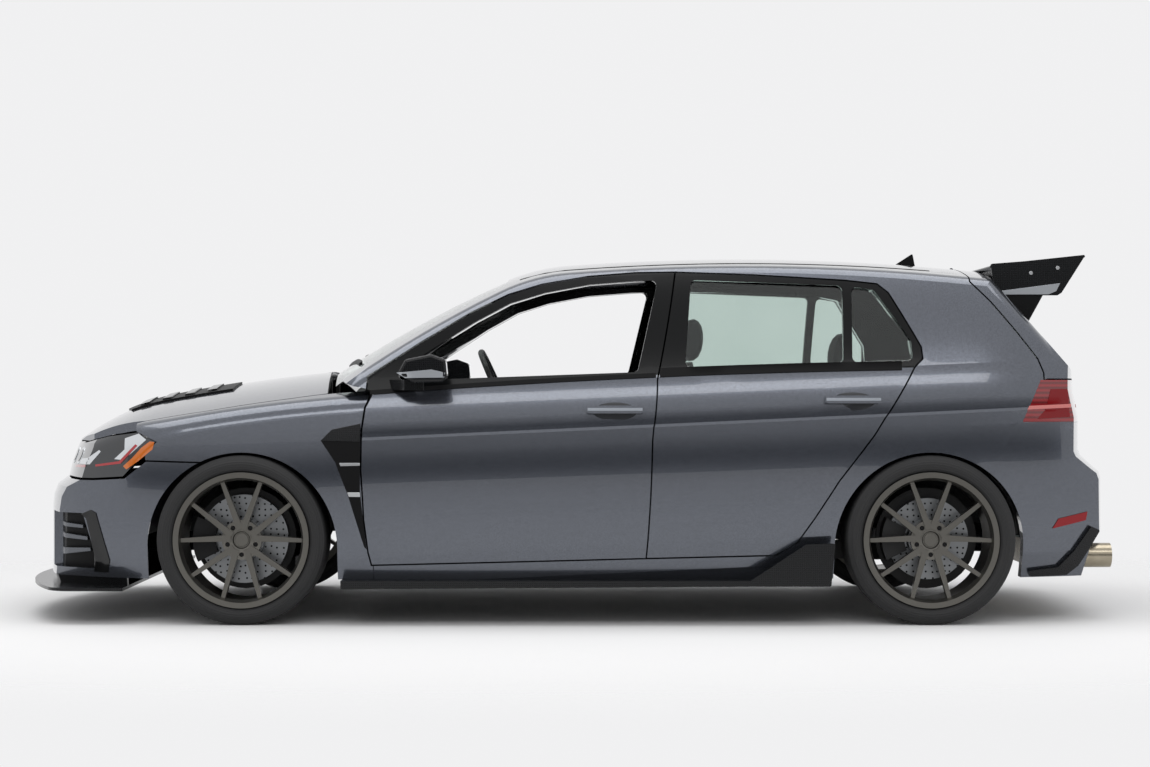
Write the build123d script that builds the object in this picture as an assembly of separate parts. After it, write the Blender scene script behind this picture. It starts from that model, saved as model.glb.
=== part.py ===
"""Five-door hatchback with a lowered stance, ten-spoke wheels, aero skirts and a tailgate wing.

Drawing frame, millimetres: +X forward, +Y left, +Z up, z = 0 on the ground. The drawing's x = 0 lies
ORIGIN_X behind the middle of the finished length, and every piece is moved to that middle when it is written.
"""
from build123d import *
import math
import os

# Overall layout
WHEELBASE = 2631.0
FRONT_AXLE_X = 1266.0
REAR_AXLE_X = FRONT_AXLE_X - WHEELBASE
NOSE_X = 2135.0
TAIL_X = -2143.0
SPLITTER_REACH = 70.0
ORIGIN_X = (NOSE_X + SPLITTER_REACH + TAIL_X) / 2
HALF_WIDTH = 892.0

# Body form
RAKE_DEG = 2.6
RAKE_PIVOT_Z = 850.0
CROWN_AXIS_Z = -2000.0
CROWN_HALF_DEG = 22.0
R_SIDE_MIDDLE = 30000.0
R_SIDE_FRONT = 950.0
R_SIDE_REAR = 1500.0
SIDE_FRONT_X = 1480.0
SIDE_REAR_X = -1500.0
SIDE_END_DEG = 90.0
R_NOSE_PLAN = 1700.0
R_TAIL_PLAN = 2500.0
R_ROOF_EDGE = 70.0
R_BONNET_EDGE = 90.0
REACH = 3000.0
WHOLE = (-REACH, REACH)

# Walls and gaps
SHUT_GAP = 6.0
SKIN = 40.0
DOOR_DEPTH = 95.0
JAMB_DEPTH = 56.0
RING_DEPTH = 100.0
PANEL = 35.0
GLASS_INSET = 8.0
GLASS = 5.0
SEAT_GAP = 0.2
FRAME_LEAN = 0.23
BELT_Z = 930.0
FRAME_INNER_Y = 566.0
BELT_Y = 866.0
SIDE_Y = 885.0
MIRROR_FOOT_Z = 985.0
SILL_Z = 172.0

# Wheels, tyres and brakes
TYRE_R = 324.0
TYRE_HALF = 117.5
WHEEL_Y = 767.0
RIM_R = 244.0
FLANGE_R = 259.0
BARREL_WALL = 12.0
RIM_HALF = 112.0
HUB_FACE = 45.0
PAD_R = 76.0
SPINDLE_R = 25.0
RUNNING = 0.05
LUG_COUNT = 5
LUG_CIRCLE_R = 56.0
LUG_R = 9.0
SPOKE_W = 19.0
DISC_R = 170.0
DISC_IN = -18.0
DISC_OUT = 10.0
ARCH_R = 366.0
LOCK_R = 390.0
ARCH_LIP = 8.0
ARCH_DROP = 32.0
WELL_INNER_Y = 405.0
REAR_WELL_Y = 525.0
LINER = 8.0
LINER_LOW_Z = 335.0
STEER_Y = 712.0
BALL_R = 9.0


def mirrored(shape):
    """The same shape on the right-hand side."""
    return mirror(shape, Plane.XZ)


def both(shape):
    """A left-hand shape and its right-hand twin, as separate solids."""
    return Compound(children=[*shape.solids(), *mirrored(shape).solids()])


def block(x, y, z):
    """A box from three (low, high) pairs."""
    size = [high - low for low, high in (x, y, z)]
    return Box(*size, align=Align.MIN).moved(Location((x[0], y[0], z[0])))


def outline(points, corner=0.0):
    """A flat face in the XZ plane from (x, z) corners, rounded by one radius."""
    face = make_face(Polyline(*[(x, 0, z) for x, z in points], close=True)).face()
    return fillet(face.vertices(), corner).face() if corner else face


def grown(face, by):
    """The face moved out all round, or in where by is negative."""
    return offset(face, by, kind=Kind.INTERSECTION).face() if by else face


def across(face, low, high):
    """A face of the XZ plane carried sideways from y = low to y = high."""
    return extrude(face.moved(Location((0, low, 0))), high - low, dir=(0, 1, 0))


def plan_prism(points, low, high, corner=0.0):
    """A plan outline of (x, y) corners carried up from z = low to z = high."""
    face = make_face(Polyline(*[(x, y, 0) for x, y in points], close=True)).face()
    if corner:
        face = fillet(face.vertices(), corner).face()
    return extrude(face.moved(Location((0, 0, low))), high - low, dir=(0, 0, 1))


def rod(start, end, radius):
    """A straight round bar between two points."""
    direction = Vector(*end) - Vector(*start)
    plane = Plane(origin=start, z_dir=direction)
    return extrude(plane * Circle(radius), direction.length)


def wheel_rod(low, high, radius, centre):
    """A round bar along Y about a wheel's centre (x, z)."""
    x, z = centre
    return rod((x, low, z), (x, high, z), radius)


# Body form: swept sides, crowned top, and nose and tail turned about upright axes

SILL_EDGE = ((780, 60), (842, 190), (868, 296))
DOOR_ARCS = (((868, 296), (892, 520), (884, 741)), ((889, 752), (879, 845), (848, 930)))
GLASS_ARC = ((848, 930), (712, 1225), (470, 1550))
FENDER_ARC = ((868, 296), (893, 600), (830, 1000))


def side_section(inset, creased):
    """Half cross-section of the body, y outwards, with the door crease or with the plain fender curve."""
    def at(point):
        return (point[0] - inset, point[1])

    arcs = [*DOOR_ARCS, GLASS_ARC] if creased else [FENDER_ARC, ((830, 1000), (800, 1200), (740, 1550))]
    with BuildSketch(Plane.YZ) as sketch:
        with BuildLine():
            Polyline((-40, 60), *[at(p) for p in SILL_EDGE])
            for number, arc in enumerate(arcs):
                if number and arcs[number - 1][2] != arc[0]:
                    Line(at(arcs[number - 1][2]), at(arc[0]))
                ThreePointArc(*[at(p) for p in arc])
            Polyline(at(arcs[-1][2]), (-40, arcs[-1][2][1]), (-40, 60))
        make_face()
    return sketch.sketch.faces()[0]


def side_solid(inset, creased):
    """The section carried along the plan curve of the sides, both sides joined, then raked."""
    section = side_section(inset, creased)
    middle_axis = Axis((0, HALF_WIDTH - R_SIDE_MIDDLE, 0), (0, 0, 1))
    front_deg = math.degrees(math.asin(SIDE_FRONT_X / R_SIDE_MIDDLE))
    rear_deg = math.degrees(math.asin(-SIDE_REAR_X / R_SIDE_MIDDLE))
    half = revolve(section.rotate(middle_axis, rear_deg), middle_axis, -(front_deg + rear_deg))
    for angle, radius, sign in ((front_deg, R_SIDE_FRONT, 1), (rear_deg, R_SIDE_REAR, -1)):
        run = R_SIDE_MIDDLE - radius
        turn = math.radians(angle)
        centre_y = HALF_WIDTH - R_SIDE_MIDDLE + run * math.cos(turn)
        end_axis = Axis((sign * run * math.sin(turn), centre_y, 0), (0, 0, 1))
        half += revolve(section.rotate(middle_axis, -sign * angle), end_axis, -sign * SIDE_END_DEG)
    half &= block((-REACH, REACH), (0, REACH), (-REACH, REACH))
    return (half + mirrored(half)).rotate(Axis((0, 0, RAKE_PIVOT_Z), (0, 1, 0)), RAKE_DEG)


def crowned(face):
    """A side profile turned about a low lengthways axis, which crowns every top surface across the car."""
    axis = Axis((0, 0, CROWN_AXIS_Z), (1, 0, 0))
    return revolve(face.rotate(axis, -CROWN_HALF_DEG), axis, 2 * CROWN_HALF_DEG)


def cabin_profile():
    with BuildSketch(Plane.XZ) as sketch:
        with BuildLine():
            screen = ThreePointArc((1060, 908), (640, 1170), (285, 1345))
            header = TangentArc(screen @ 1, (20, 1411), tangent=screen % 1)
            roof = TangentArc(header @ 1, (-1640, 1387), tangent=header % 1)
            Polyline(roof @ 1, (-2200, 760), (-2400, 50), (1400, 50), screen @ 0)
        make_face()
    return sketch.sketch.faces()[0]


def bonnet_profile():
    with BuildSketch(Plane.XZ) as sketch:
        with BuildLine():
            top = ThreePointArc((300, 1000), (1200, 948), (1640, 876))
            brow = TangentArc(top @ 1, (1985, 722), tangent=top % 1)
            Polyline(brow @ 1, brow @ 1 + (brow % 1) * 500, (2400, 50), (300, 50), top @ 0)
        make_face()
    return sketch.sketch.faces()[0]


# Fascia tables: (distance behind the foremost or rearmost line, height)
NOSE_ROWS = ((40, 50), (0, 170), (0, 430), (5, 480), (20, 520), (62, 552), (75, 610), (105, 690), (150, 750), (400, 1100))
TAIL_ROWS = ((110, 50), (20, 330), (0, 350), (0, 550), (8, 575), (28, 592), (80, 640), (88, 660), (88, 790), (110, 900),
             (130, 1600))


def fascia(rows, tip_x, radius, sign):
    """A fascia profile turned about the upright axis that gives the end of the car its plan curve."""
    axis_x = tip_x - sign * radius
    points = [(axis_x, rows[0][1])]
    points += [(tip_x - sign * back, z) for back, z in rows]
    points += [(axis_x, rows[-1][1])]
    axis = Axis((axis_x, 0, 0), (0, 0, 1))
    return revolve(outline(points).rotate(axis, -88), axis, 176)


def end_cut(rows, tip_x, radius, sign, inset):
    """What lies beyond the nose or tail fascia."""
    start = tip_x - sign * 800
    beyond = block(tuple(sorted((start, start + sign * REACH))), (-REACH, REACH), (-REACH, REACH))
    return beyond - fascia(rows, tip_x - sign * inset, radius, sign)


def is_top_edge(edge, low):
    middle = edge.center()
    return edge.geom_type == GeomType.BSPLINE and abs(middle.Y) > 500 and middle.Z > low


def cabin(inset):
    """The car's outer form from the windscreen back, with each surface moved in by inset."""
    form = side_solid(inset, True) & crowned(cabin_profile()).moved(Location((0, 0, -inset)))
    form = form.fillet(R_ROOF_EDGE, [e for e in form.edges() if is_top_edge(e, 960)])
    return form - end_cut(TAIL_ROWS, TAIL_X, R_TAIL_PLAN, -1, inset)


def front_clip(inset):
    """The car's outer form ahead of the doors."""
    form = side_solid(inset, False) & crowned(bonnet_profile()).moved(Location((0, 0, -inset)))
    form = form.fillet(R_BONNET_EDGE, [e for e in form.edges() if is_top_edge(e, 500) and e.center().X > 320])
    return form - end_cut(NOSE_ROWS, NOSE_X, R_NOSE_PLAN, 1, inset)


# Shut lines as seen from the side, (x, z)

FRONT_DOOR = ((754, 889), (789, 828), (804, 744), (808, 592), (796, 402), (777, 276), (762, 227), (-286, 253), (-302, 706),
              (-323, 935), (-398, 1357), (-247, 1355), (-61, 1340), (121, 1308), (248, 1268), (395, 1194),
              (577, 1082), (780, 949), (780, 896))
REAR_DOOR = ((-398, 1357), (-323, 935), (-302, 706), (-286, 253), (-784, 264), (-861, 310), (-925, 405),
             (-1017, 550), (-1154, 725), (-1312, 984), (-1345, 1016), (-1341, 1063), (-1225, 1275), (-1183, 1310),
             (-1059, 1324), (-703, 1346))
FRONT_LIGHT = ((720, 930), (554, 1046), (380, 1158), (244, 1232), (109, 1274), (-65, 1307), (-258, 1322), (-330, 1324),
               (-247, 965))
REAR_LIGHT = ((-459, 1326), (-1047, 1302), (-1036, 1000), (-428, 982))
QUARTER_LIGHT = ((-1082, 1300), (-1168, 1286), (-1300, 1088), (-1304, 1008), (-1070, 1002))
FRONT_INNER = ((742, 800), (748, 592), (738, 402), (716, 335), (-215, 335), (-219, 478), (-225, 706), (-245, 880))
REAR_INNER = ((-372, 335), (-760, 335), (-870, 420), (-962, 562), (-1080, 722), (-1190, 905), (-388, 880), (-375, 706))
FRONT_OPENING = ((756, 800), (763, 592), (753, 402), (727, 321), (-229, 321), (-233, 478), (-239, 706), (-262, 935),
                 (-330, 1322), (-258, 1322), (-65, 1307), (109, 1274), (244, 1232), (380, 1158), (554, 1046), (720, 930))
REAR_OPENING = ((-358, 321), (-768, 321), (-883, 412), (-976, 556), (-1094, 716), (-1204, 895), (-1310, 1000),
                (-1300, 1088), (-1168, 1286), (-1047, 1310), (-459, 1326), (-420, 1150), (-372, 890), (-361, 706))
FENDER = ((765, 172), (765, 227), (780, 276), (799, 402), (811, 592), (807, 744), (792, 830), (757, 892), (846, 909),
          (952, 951), (1100, 1100), (1750, 1100), (1679, 738), (1594, 698), (1641, 650), (1638, 628), (1400, 622), (1400, 172))
FRONT_BUMPER = ((1400, 616), (1636, 622), (1722, 556), (1854, 548), (2400, 548), (2400, 172), (1400, 172))
HEADLAMP = ((1600, 698), (1647, 650), (1729, 565), (1854, 557), (2400, 557), (2400, 690), (1908, 690), (1788, 718), (1679, 732))
TAILGATE = ((-1551, 1500), (-1551, 1320), (-1623, 1244), (-1721, 1119), (-1795, 1017), (-1814, 963), (-1814, 941), (-2400, 941),
            (-2400, 1500))
TAIL_LAMP = ((-1722, 774), (-1797, 935), (-2400, 935), (-2400, 774))
REAR_BUMPER = ((-1612, 612), (-1703, 770), (-2400, 770), (-2400, 172), (-1600, 172))

# Shut lines as seen from above, (x, y), left half
BONNET_PLAN = ((1006, 0), (950, 735), (1100, 752), (1400, 762), (1650, 738), (1880, 600), (1985, 400), (2006, 0))
SCREEN_PLAN = ((975, 0), (922, 702), (262, 545), (262, 0))
ROOF_X = (-1532.0, 262.0)
ROOF_HALF = 545.0
LID_HALF = 527.0
LID_LOW_Z = 645.0
FENDER_INNER_Y = 745.0

# Lid hinges: (axis x, axis z) and the two places across the car
LID_HINGE = (-1548.0, 1386.0)
LID_HINGE_Y = 200.0
BONNET_HINGE = (1000.0, 953.0)
BONNET_HINGE_Y = 150.0
HINGE_PIN_R = 4.0
HINGE_EYE_R = 8.0
HINGE_HALF = 10.0


def plan_full(points):
    """A half plan outline together with its mirror."""
    return [*points, *[(x, -y) for x, y in points[::-1] if y]]


def glass_y(z):
    """Half width of the side glass at a height, from the circle of its section."""
    (y1, z1), (y2, z2), (y3, z3) = GLASS_ARC
    centre = Edge.make_three_point_arc((y1, z1, 0), (y2, z2, 0), (y3, z3, 0)).arc_center
    radius = math.hypot(y1 - centre.X, z1 - centre.Y)
    return centre.X + math.sqrt(radius**2 - (z - centre.Y) ** 2)


def leaned(points):
    """A side outline corrected so that, carried along the leaned way, it meets the skin where it was drawn."""
    skin_y = [glass_y(z) + GLASS_INSET if z > BELT_Z else SIDE_Y for _, z in points]
    return [(x - FRAME_LEAN * (BELT_Y - y), z) for (x, z), y in zip(points, skin_y)]


def door_prism(points, grow):
    """A door outline carried sideways and swept back on its way out, so that the tall frame opens freely."""
    start = FRAME_INNER_Y - 2 * SHUT_GAP
    face = grown(outline(leaned(points)), grow).moved(Location((FRAME_LEAN * (BELT_Y - start), start, 0)))
    space = block(WHOLE, (FRAME_INNER_Y - 2 * grow, REACH), WHOLE)
    return extrude(face, HALF_WIDTH, dir=(-FRAME_LEAN, 1, 0)) & space


def wheel_well(axle_x, radius, inner_y):
    """The open space round one wheel, below and beside its arch."""
    centre = (axle_x, TYRE_R - ARCH_DROP)
    return wheel_rod(inner_y, REACH, radius, centre) + block((axle_x - radius, axle_x + radius), (inner_y, REACH), (-50, centre[1]))


# Wheels. Each is drawn about (0, 0, 0) with +Y outboard, then placed.

def ring(rows):
    """A solid of revolution about Y from (radius, y) corners."""
    face = make_face(Polyline(*[(r, y, 0) for r, y in rows], close=True)).face()
    return revolve(face, Axis.Y, 360)


def tyre():
    with BuildSketch() as sketch:
        with BuildLine():
            Polyline((RIM_R + 0.3, -96), (RIM_R + 0.3, 96), (FLANGE_R + 2, 102))
            ThreePointArc((FLANGE_R + 2, 102), (FLANGE_R + 26, TYRE_HALF), (TYRE_R - 16, TYRE_HALF - 8))
            ThreePointArc((TYRE_R - 16, TYRE_HALF - 8), (TYRE_R - 5, TYRE_HALF - 16), (TYRE_R - 1, TYRE_HALF - 28))
            ThreePointArc((TYRE_R - 1, TYRE_HALF - 28), (TYRE_R, 0), (TYRE_R - 1, 28 - TYRE_HALF))
            ThreePointArc((TYRE_R - 1, 28 - TYRE_HALF), (TYRE_R - 5, 16 - TYRE_HALF), (TYRE_R - 16, 8 - TYRE_HALF))
            ThreePointArc((TYRE_R - 16, 8 - TYRE_HALF), (FLANGE_R + 26, -TYRE_HALF), (FLANGE_R + 2, -102))
            Line((FLANGE_R + 2, -102), (RIM_R + 0.3, -96))
        make_face()
    return revolve(sketch.sketch.faces()[0], Axis.Y, 360)


def rim():
    """Barrel with flanges, hub pad, and five pairs of spokes that fork from a lug each."""
    inner = RIM_R - BARREL_WALL
    flange = RIM_HALF - 7
    body = ring(((inner, -RIM_HALF), (FLANGE_R, -RIM_HALF), (FLANGE_R, -flange), (RIM_R, -97), (RIM_R, 97), (FLANGE_R, flange),
                 (FLANGE_R, RIM_HALF), (inner + 6, RIM_HALF), (inner - 4, 84), (inner, 60)))
    body += ring(((0, HUB_FACE), (PAD_R, HUB_FACE), (PAD_R, 84), (34, 90), (30, 82), (0, 82)))
    spoke = outline(((-SPOKE_W / 2 - 3, 40), (SPOKE_W / 2 + 3, 40), (SPOKE_W / 2 - 2, inner + 4), (2 - SPOKE_W / 2, inner + 4)))
    bar = extrude(spoke.moved(Location((0, 56, 0))), 36, dir=(0, 1, 0))
    for lug in range(LUG_COUNT):
        turn = 180 + lug * 360 / LUG_COUNT
        for fork in (-1, 1):
            branch = bar.moved(Location((fork * 9.0, 0, 0))).rotate(Axis.Y, turn + fork * 15.5)
            body += branch
        hole = wheel_rod(0, REACH, LUG_R, (0, -LUG_CIRCLE_R)).rotate(Axis.Y, lug * 360 / LUG_COUNT)
        body -= hole
    return body


def disc(radius):
    """Brake disc with its hat; the bore runs on the spindle."""
    bore = SPINDLE_R + RUNNING
    return ring(((bore, 8), (70, 8), (70, DISC_OUT), (78, DISC_IN), (radius, DISC_IN), (radius, DISC_OUT), (84, DISC_OUT),
                 (80, HUB_FACE - SEAT_GAP), (bore, HUB_FACE - SEAT_GAP)))


def caliper(radius):
    """Block that straddles the front of the disc, with a slot for the disc to run in."""
    band = ring(((radius - 62, -52), (radius + 24, -52), (radius + 24, 40), (radius - 62, 40)))
    band -= ring(((radius - 90, DISC_IN - 6), (radius + 6, DISC_IN - 6), (radius + 6, DISC_OUT + 6), (radius - 90, DISC_OUT + 6)))
    wedge = outline(((0, 0), (300, 150), (300, -150)))
    return band & across(wedge, -200, 200)


def placed(shape, axle_x, side):
    """A wheel piece moved to its axle end; the right-hand side is the mirror of the left."""
    left = shape.moved(Location((axle_x, WHEEL_Y, TYRE_R)))
    return left if side == "left" else mirrored(left)


# Body panels

CAB = {inset: cabin(inset) for inset in (-32.0, -14.0, 0.0, GLASS_INSET, GLASS_INSET + GLASS, SKIN, JAMB_DEPTH, DOOR_DEPTH,
                                         RING_DEPTH, RING_DEPTH + SEAT_GAP)}
CLIP = {inset: front_clip(inset) for inset in (0.0, ARCH_LIP, PANEL, PANEL + SEAT_GAP, JAMB_DEPTH, 60.0)}
LEFT = block((-REACH, REACH), (0, REACH), (-REACH, REACH))
SCREEN = plan_prism(plan_full(SCREEN_PLAN), 780, 1500)
ROOF = block(ROOF_X, (-ROOF_HALF, ROOF_HALF), (1150, 1600))
TAIL_X_RANGE = (-2400, -1700)


def shell(forms, outer, inner):
    return forms[outer] - forms[inner]


DOOR_SKIN = shell(CAB, 0.0, SKIN) & LEFT
DOOR_CORE = shell(CAB, SKIN, DOOR_DEPTH) & LEFT
SIDE_GLASS = shell(CAB, GLASS_INSET, GLASS_INSET + GLASS)
CLIP_SKIN = shell(CLIP, 0.0, PANEL)
TAIL_SKIN = shell(CAB, 0.0, JAMB_DEPTH)


def handle(x_range, z_range):
    """Grab bar that follows the skin, on two feet."""
    (x0, x1), (z0, z1) = x_range, z_range
    bar = across(outline(((x0, z0), (x1, z0), (x1, z1), (x0, z1)), 10), 600, REACH) & shell(CAB, -32.0, -14.0)
    for foot in (x0, x1 - 40):
        bar += block((foot, foot + 40), (600, REACH), (z0 + 4, z1 - 4)) & shell(CAB, -32.0, 0.0)
    return bar


def door(points, core, lights, grip):
    """Skin with its window frame, the deeper core below the belt, and the handle."""
    panel = DOOR_SKIN & door_prism(points, -SHUT_GAP / 2)
    for light in lights:
        panel -= across(outline(light, 22), 500, REACH)
    panel += DOOR_CORE & across(outline(core, 18), 500, REACH)
    return panel + handle(*grip)


FRONT_DOOR_LEFT = door(FRONT_DOOR, FRONT_INNER, (FRONT_LIGHT,), ((-265, -52), (808, 838)))
REAR_DOOR_LEFT = door(REAR_DOOR, REAR_INNER, (REAR_LIGHT, QUARTER_LIGHT), ((-1172, -960), (846, 876)))


def rear_door_glass():
    panes = []
    for light in (REAR_LIGHT, QUARTER_LIGHT):
        pane = SIDE_GLASS & across(grown(outline(light, 22), -SEAT_GAP), 500, REACH)
        panes += pane.solids()
    return Compound(children=panes)


def arch_liner(axle_x, radius, inner_y, form):
    """Half-round cover over a wheel, from its inner edge out to the skin."""
    centre = (axle_x, TYRE_R - ARCH_DROP)
    cover = wheel_rod(inner_y, HALF_WIDTH, radius + LINER, centre) - wheel_rod(0, REACH, radius, centre)
    return cover & block(WHOLE, (0, REACH), (LINER_LOW_Z, REACH)) & form


def body_side():
    """Pillars, cant rail, sill and rear quarter in one."""
    side = shell(CAB, 0.0, RING_DEPTH) & block((-2050, 930), (300, REACH), (SILL_Z, 1500))
    outside = LEFT - CAB[JAMB_DEPTH]
    front_space = door_prism(FRONT_DOOR, SHUT_GAP / 2)
    side -= front_space & outside
    side -= door_prism(REAR_DOOR, SHUT_GAP / 2) & outside
    side -= front_space & block((650, REACH), (0, REACH), (BELT_Z - SHUT_GAP, MIRROR_FOOT_Z))
    side -= across(grown(outline(FENDER), SHUT_GAP / 2), 300, REACH) & (LEFT - CLIP[JAMB_DEPTH])
    side -= wheel_rod(0, REACH, LOCK_R + LINER + SEAT_GAP, (FRONT_AXLE_X, TYRE_R - ARCH_DROP))
    for points in (FRONT_OPENING, REAR_OPENING):
        side -= across(outline(points, 12), 300, REACH)
    side -= across(grown(outline(TAILGATE), SHUT_GAP), 0, REACH)
    side -= block(TAIL_X_RANGE, (0, LID_HALF + SHUT_GAP), (500, 1000))
    for points in (TAIL_LAMP, REAR_BUMPER):
        side -= across(grown(outline(points), SEAT_GAP), 0, REACH)
    side -= SCREEN + ROOF
    return side - wheel_well(REAR_AXLE_X, ARCH_R, 0)


def hinge_rod(axis, y, half, radius):
    """A bar along a lid's hinge axis, centred on one of its hinges."""
    x, z = axis
    return rod((x, y - half, z), (x, y + half, z), radius)


def hinge_seat(lid, axis, y):
    """The lid relieved round one hinge eye, with the pin that carries it."""
    relieved = lid - hinge_rod(axis, y, HINGE_HALF + SHUT_GAP, HINGE_EYE_R + SHUT_GAP)
    return relieved + hinge_rod(axis, y, HINGE_HALF + SHUT_GAP + 6, HINGE_PIN_R)


def hinge_eye(axis, y, arm):
    """A body-side eye on its arm, bored for the lid's pin."""
    eye = hinge_rod(axis, y, HINGE_HALF, HINGE_EYE_R) + arm
    return eye - hinge_rod(axis, y, REACH, HINGE_PIN_R + RUNNING)


def roof_panel():
    """Roof skin with the two hinge eyes of the tailgate at its rear edge."""
    roof = shell(CAB, 0.0, SKIN) & block(ROOF_X, (-ROOF_HALF + SEAT_GAP, ROOF_HALF - SEAT_GAP), (1150, 1600))
    x, z = LID_HINGE
    for y in (-LID_HINGE_Y, LID_HINGE_Y):
        arm = block((x, ROOF_X[0] + 6), (y - HINGE_HALF, y + HINGE_HALF), (z - HINGE_EYE_R, z + 3))
        roof += hinge_eye(LID_HINGE, y, arm)
    return roof


def windscreen():
    pane = SIDE_GLASS & plan_prism([(x, y * 0.9995) for x, y in plan_full(SCREEN_PLAN)], 780, 1500)
    return pane & block((ROOF_X[1] + SEAT_GAP, 1100), WHOLE, (780, 1500))


def bonnet():
    skin = CLIP_SKIN & plan_prism(plan_full(BONNET_PLAN), 600, 1100)
    skin -= across(grown(outline(HEADLAMP), SHUT_GAP), *WHOLE)
    x, z = BONNET_HINGE
    for y in (-BONNET_HINGE_Y, BONNET_HINGE_Y):
        skin -= block((x - 40, x + HINGE_EYE_R + SHUT_GAP), (y - HINGE_HALF - SHUT_GAP, y + HINGE_HALF + SHUT_GAP), (z - 80, z))
        skin = hinge_seat(skin, BONNET_HINGE, y)
    return skin


BONNET_SPACE = plan_prism(plan_full([(x + (SHUT_GAP if x > 1900 else -SHUT_GAP), y + (SHUT_GAP if y else 0))
                                     for x, y in BONNET_PLAN]), 500, 1200)
FRONT_LAMP_BODY = across(outline(HEADLAMP), 428, REACH)


def fender():
    """Front wing between the door, the bonnet, the lamp and the bumper."""
    wing = CLIP_SKIN & across(outline(FENDER), FENDER_INNER_Y, REACH)
    wing -= BONNET_SPACE
    wing -= across(grown(outline(HEADLAMP), SEAT_GAP), 300, REACH)
    wing -= door_prism(FRONT_DOOR, SHUT_GAP / 2)
    wing -= wheel_well(FRONT_AXLE_X, LOCK_R, 0) & CLIP[ARCH_LIP]
    return wing - wheel_well(FRONT_AXLE_X, ARCH_R, 0)


def front_bumper():
    """Fascia from the lower lip to the lamps, with the centre intake and the two side intakes open."""
    fascia_skin = CLIP_SKIN & across(outline(FRONT_BUMPER), *WHOLE)
    wells = wheel_well(FRONT_AXLE_X, ARCH_R, 0) + (wheel_well(FRONT_AXLE_X, LOCK_R, 0) & CLIP[ARCH_LIP])
    fascia_skin -= wells
    fascia_skin -= mirrored(wells)
    fascia_skin -= block((1850, 2400), (-430, 430), (215, 430))
    intake = across(outline(((2400, 420), (1900, 420), (1840, 228), (1860, 205), (2400, 205)), 12), 500, 790)
    return fascia_skin - intake - mirrored(intake)


def front_grille():
    """Upper grille band between the lamps and the mesh plates behind the lower intakes."""
    band = shell(CLIP, ARCH_LIP, PANEL) & block((1700, 2400), (-428 + SEAT_GAP, 428 - SEAT_GAP), (548 + SEAT_GAP, 800))
    band -= BONNET_SPACE
    mesh = shell(CLIP, PANEL + SEAT_GAP, 60.0) & block((1800, 2400), (-800, 800), (195, 440))
    return Compound(children=[*band.solids(), *mesh.solids()])


def headlamps():
    return both(shell(CLIP, 0.0, 60.0) & FRONT_LAMP_BODY)


def tailgate():
    """Lid with the rear window cut through, the lamp pockets and the lower panel between the lamps."""
    space = across(outline(TAILGATE), *WHOLE) + block(TAIL_X_RANGE, (-LID_HALF, LID_HALF), (LID_LOW_Z, 945))
    lid = shell(CAB, 0.0, DOOR_DEPTH) & space
    lid -= REAR_WINDOW
    lid -= both(LID_LAMP)
    for y in (-LID_HINGE_Y, LID_HINGE_Y):
        lid = hinge_seat(lid, LID_HINGE, y)
    return lid


REAR_WINDOW_ROWS = ((520, 1010), (455, 1315), (-455, 1315), (-520, 1010))
REAR_WINDOW = extrude(make_face(Polyline(*[(0, y, z) for y, z in REAR_WINDOW_ROWS], close=True)).face()
                      .moved(Location((-2400, 0, 0))), 800, dir=(1, 0, 0))
LID_LAMP = block((-2400, -1950), (300, LID_HALF + 20), (785, 935)) - CAB[JAMB_DEPTH]


def tailgate_glass():
    return SIDE_GLASS & REAR_WINDOW & block((-2400, -1560), WHOLE, (900, 1400))


def tail_lamps():
    return both(TAIL_SKIN & across(outline(TAIL_LAMP), LID_HALF + SHUT_GAP + SEAT_GAP, REACH))


def tailgate_lamps():
    lamp = TAIL_SKIN & block((-2400, -1950), (300 + SEAT_GAP, LID_HALF), (785 + SEAT_GAP, 935 - SEAT_GAP))
    return both(lamp)


EXHAUST_Y = 555.0
EXHAUST_Z = 245.0
EXHAUST_R = 48.0
HANGER_R = 6.0


def rear_bumper():
    skin = TAIL_SKIN & across(outline(REAR_BUMPER), *WHOLE)
    skin -= block(TAIL_X_RANGE, (-LID_HALF - SHUT_GAP, LID_HALF + SHUT_GAP), (LID_LOW_Z - SHUT_GAP, 1000))
    well = wheel_well(REAR_AXLE_X, ARCH_R, 0)
    port = rod((-1950, EXHAUST_Y, EXHAUST_Z), (-2400, EXHAUST_Y, EXHAUST_Z), EXHAUST_R + 12)
    return skin - well - mirrored(well) - port - mirrored(port)


# Aero pieces and outside fittings

def front_splitter():
    """Flat blade ahead of and under the bumper, with the upright lip that meets the bumper's lower edge."""
    reach = R_NOSE_PLAN + SPLITTER_REACH
    blade = rod((NOSE_X - R_NOSE_PLAN, 0, 128), (NOSE_X - R_NOSE_PLAN, 0, 140), reach)
    blade &= block((1722, 2400), (-850, 850), (100, 160))
    blade = blade.fillet(110, [e for e in blade.edges().filter_by(Axis.Z) if e.center().X > 1800])
    lip = shell(CLIP, ARCH_LIP, PANEL) & block((1722, 2400), WHOLE, (140, SILL_Z - SEAT_GAP))
    return blade + lip


def side_skirt():
    """Blade under the sill that ends in a raised winglet ahead of the rear wheel."""
    blade = across(outline(((884, 140), (884, SILL_Z - SEAT_GAP), (-980, SILL_Z - SEAT_GAP), (-980, 152))), 730, 905)
    fin = across(outline(((-640, 150), (-886, 311), (-996, 314), (-980, 150)), 8), 893, 905)
    return blade + fin


def rear_spat():
    outer = shell(CAB, -14.0, 0.0) & across(outline(((-1759, 198), (-1878, 210), (-1936, 271), (-2006, 368), (-2044, 352),
                                                     (-1963, 214), (-1917, 178), (-1766, 174)), 6), 400, REACH)
    return outer


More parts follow.
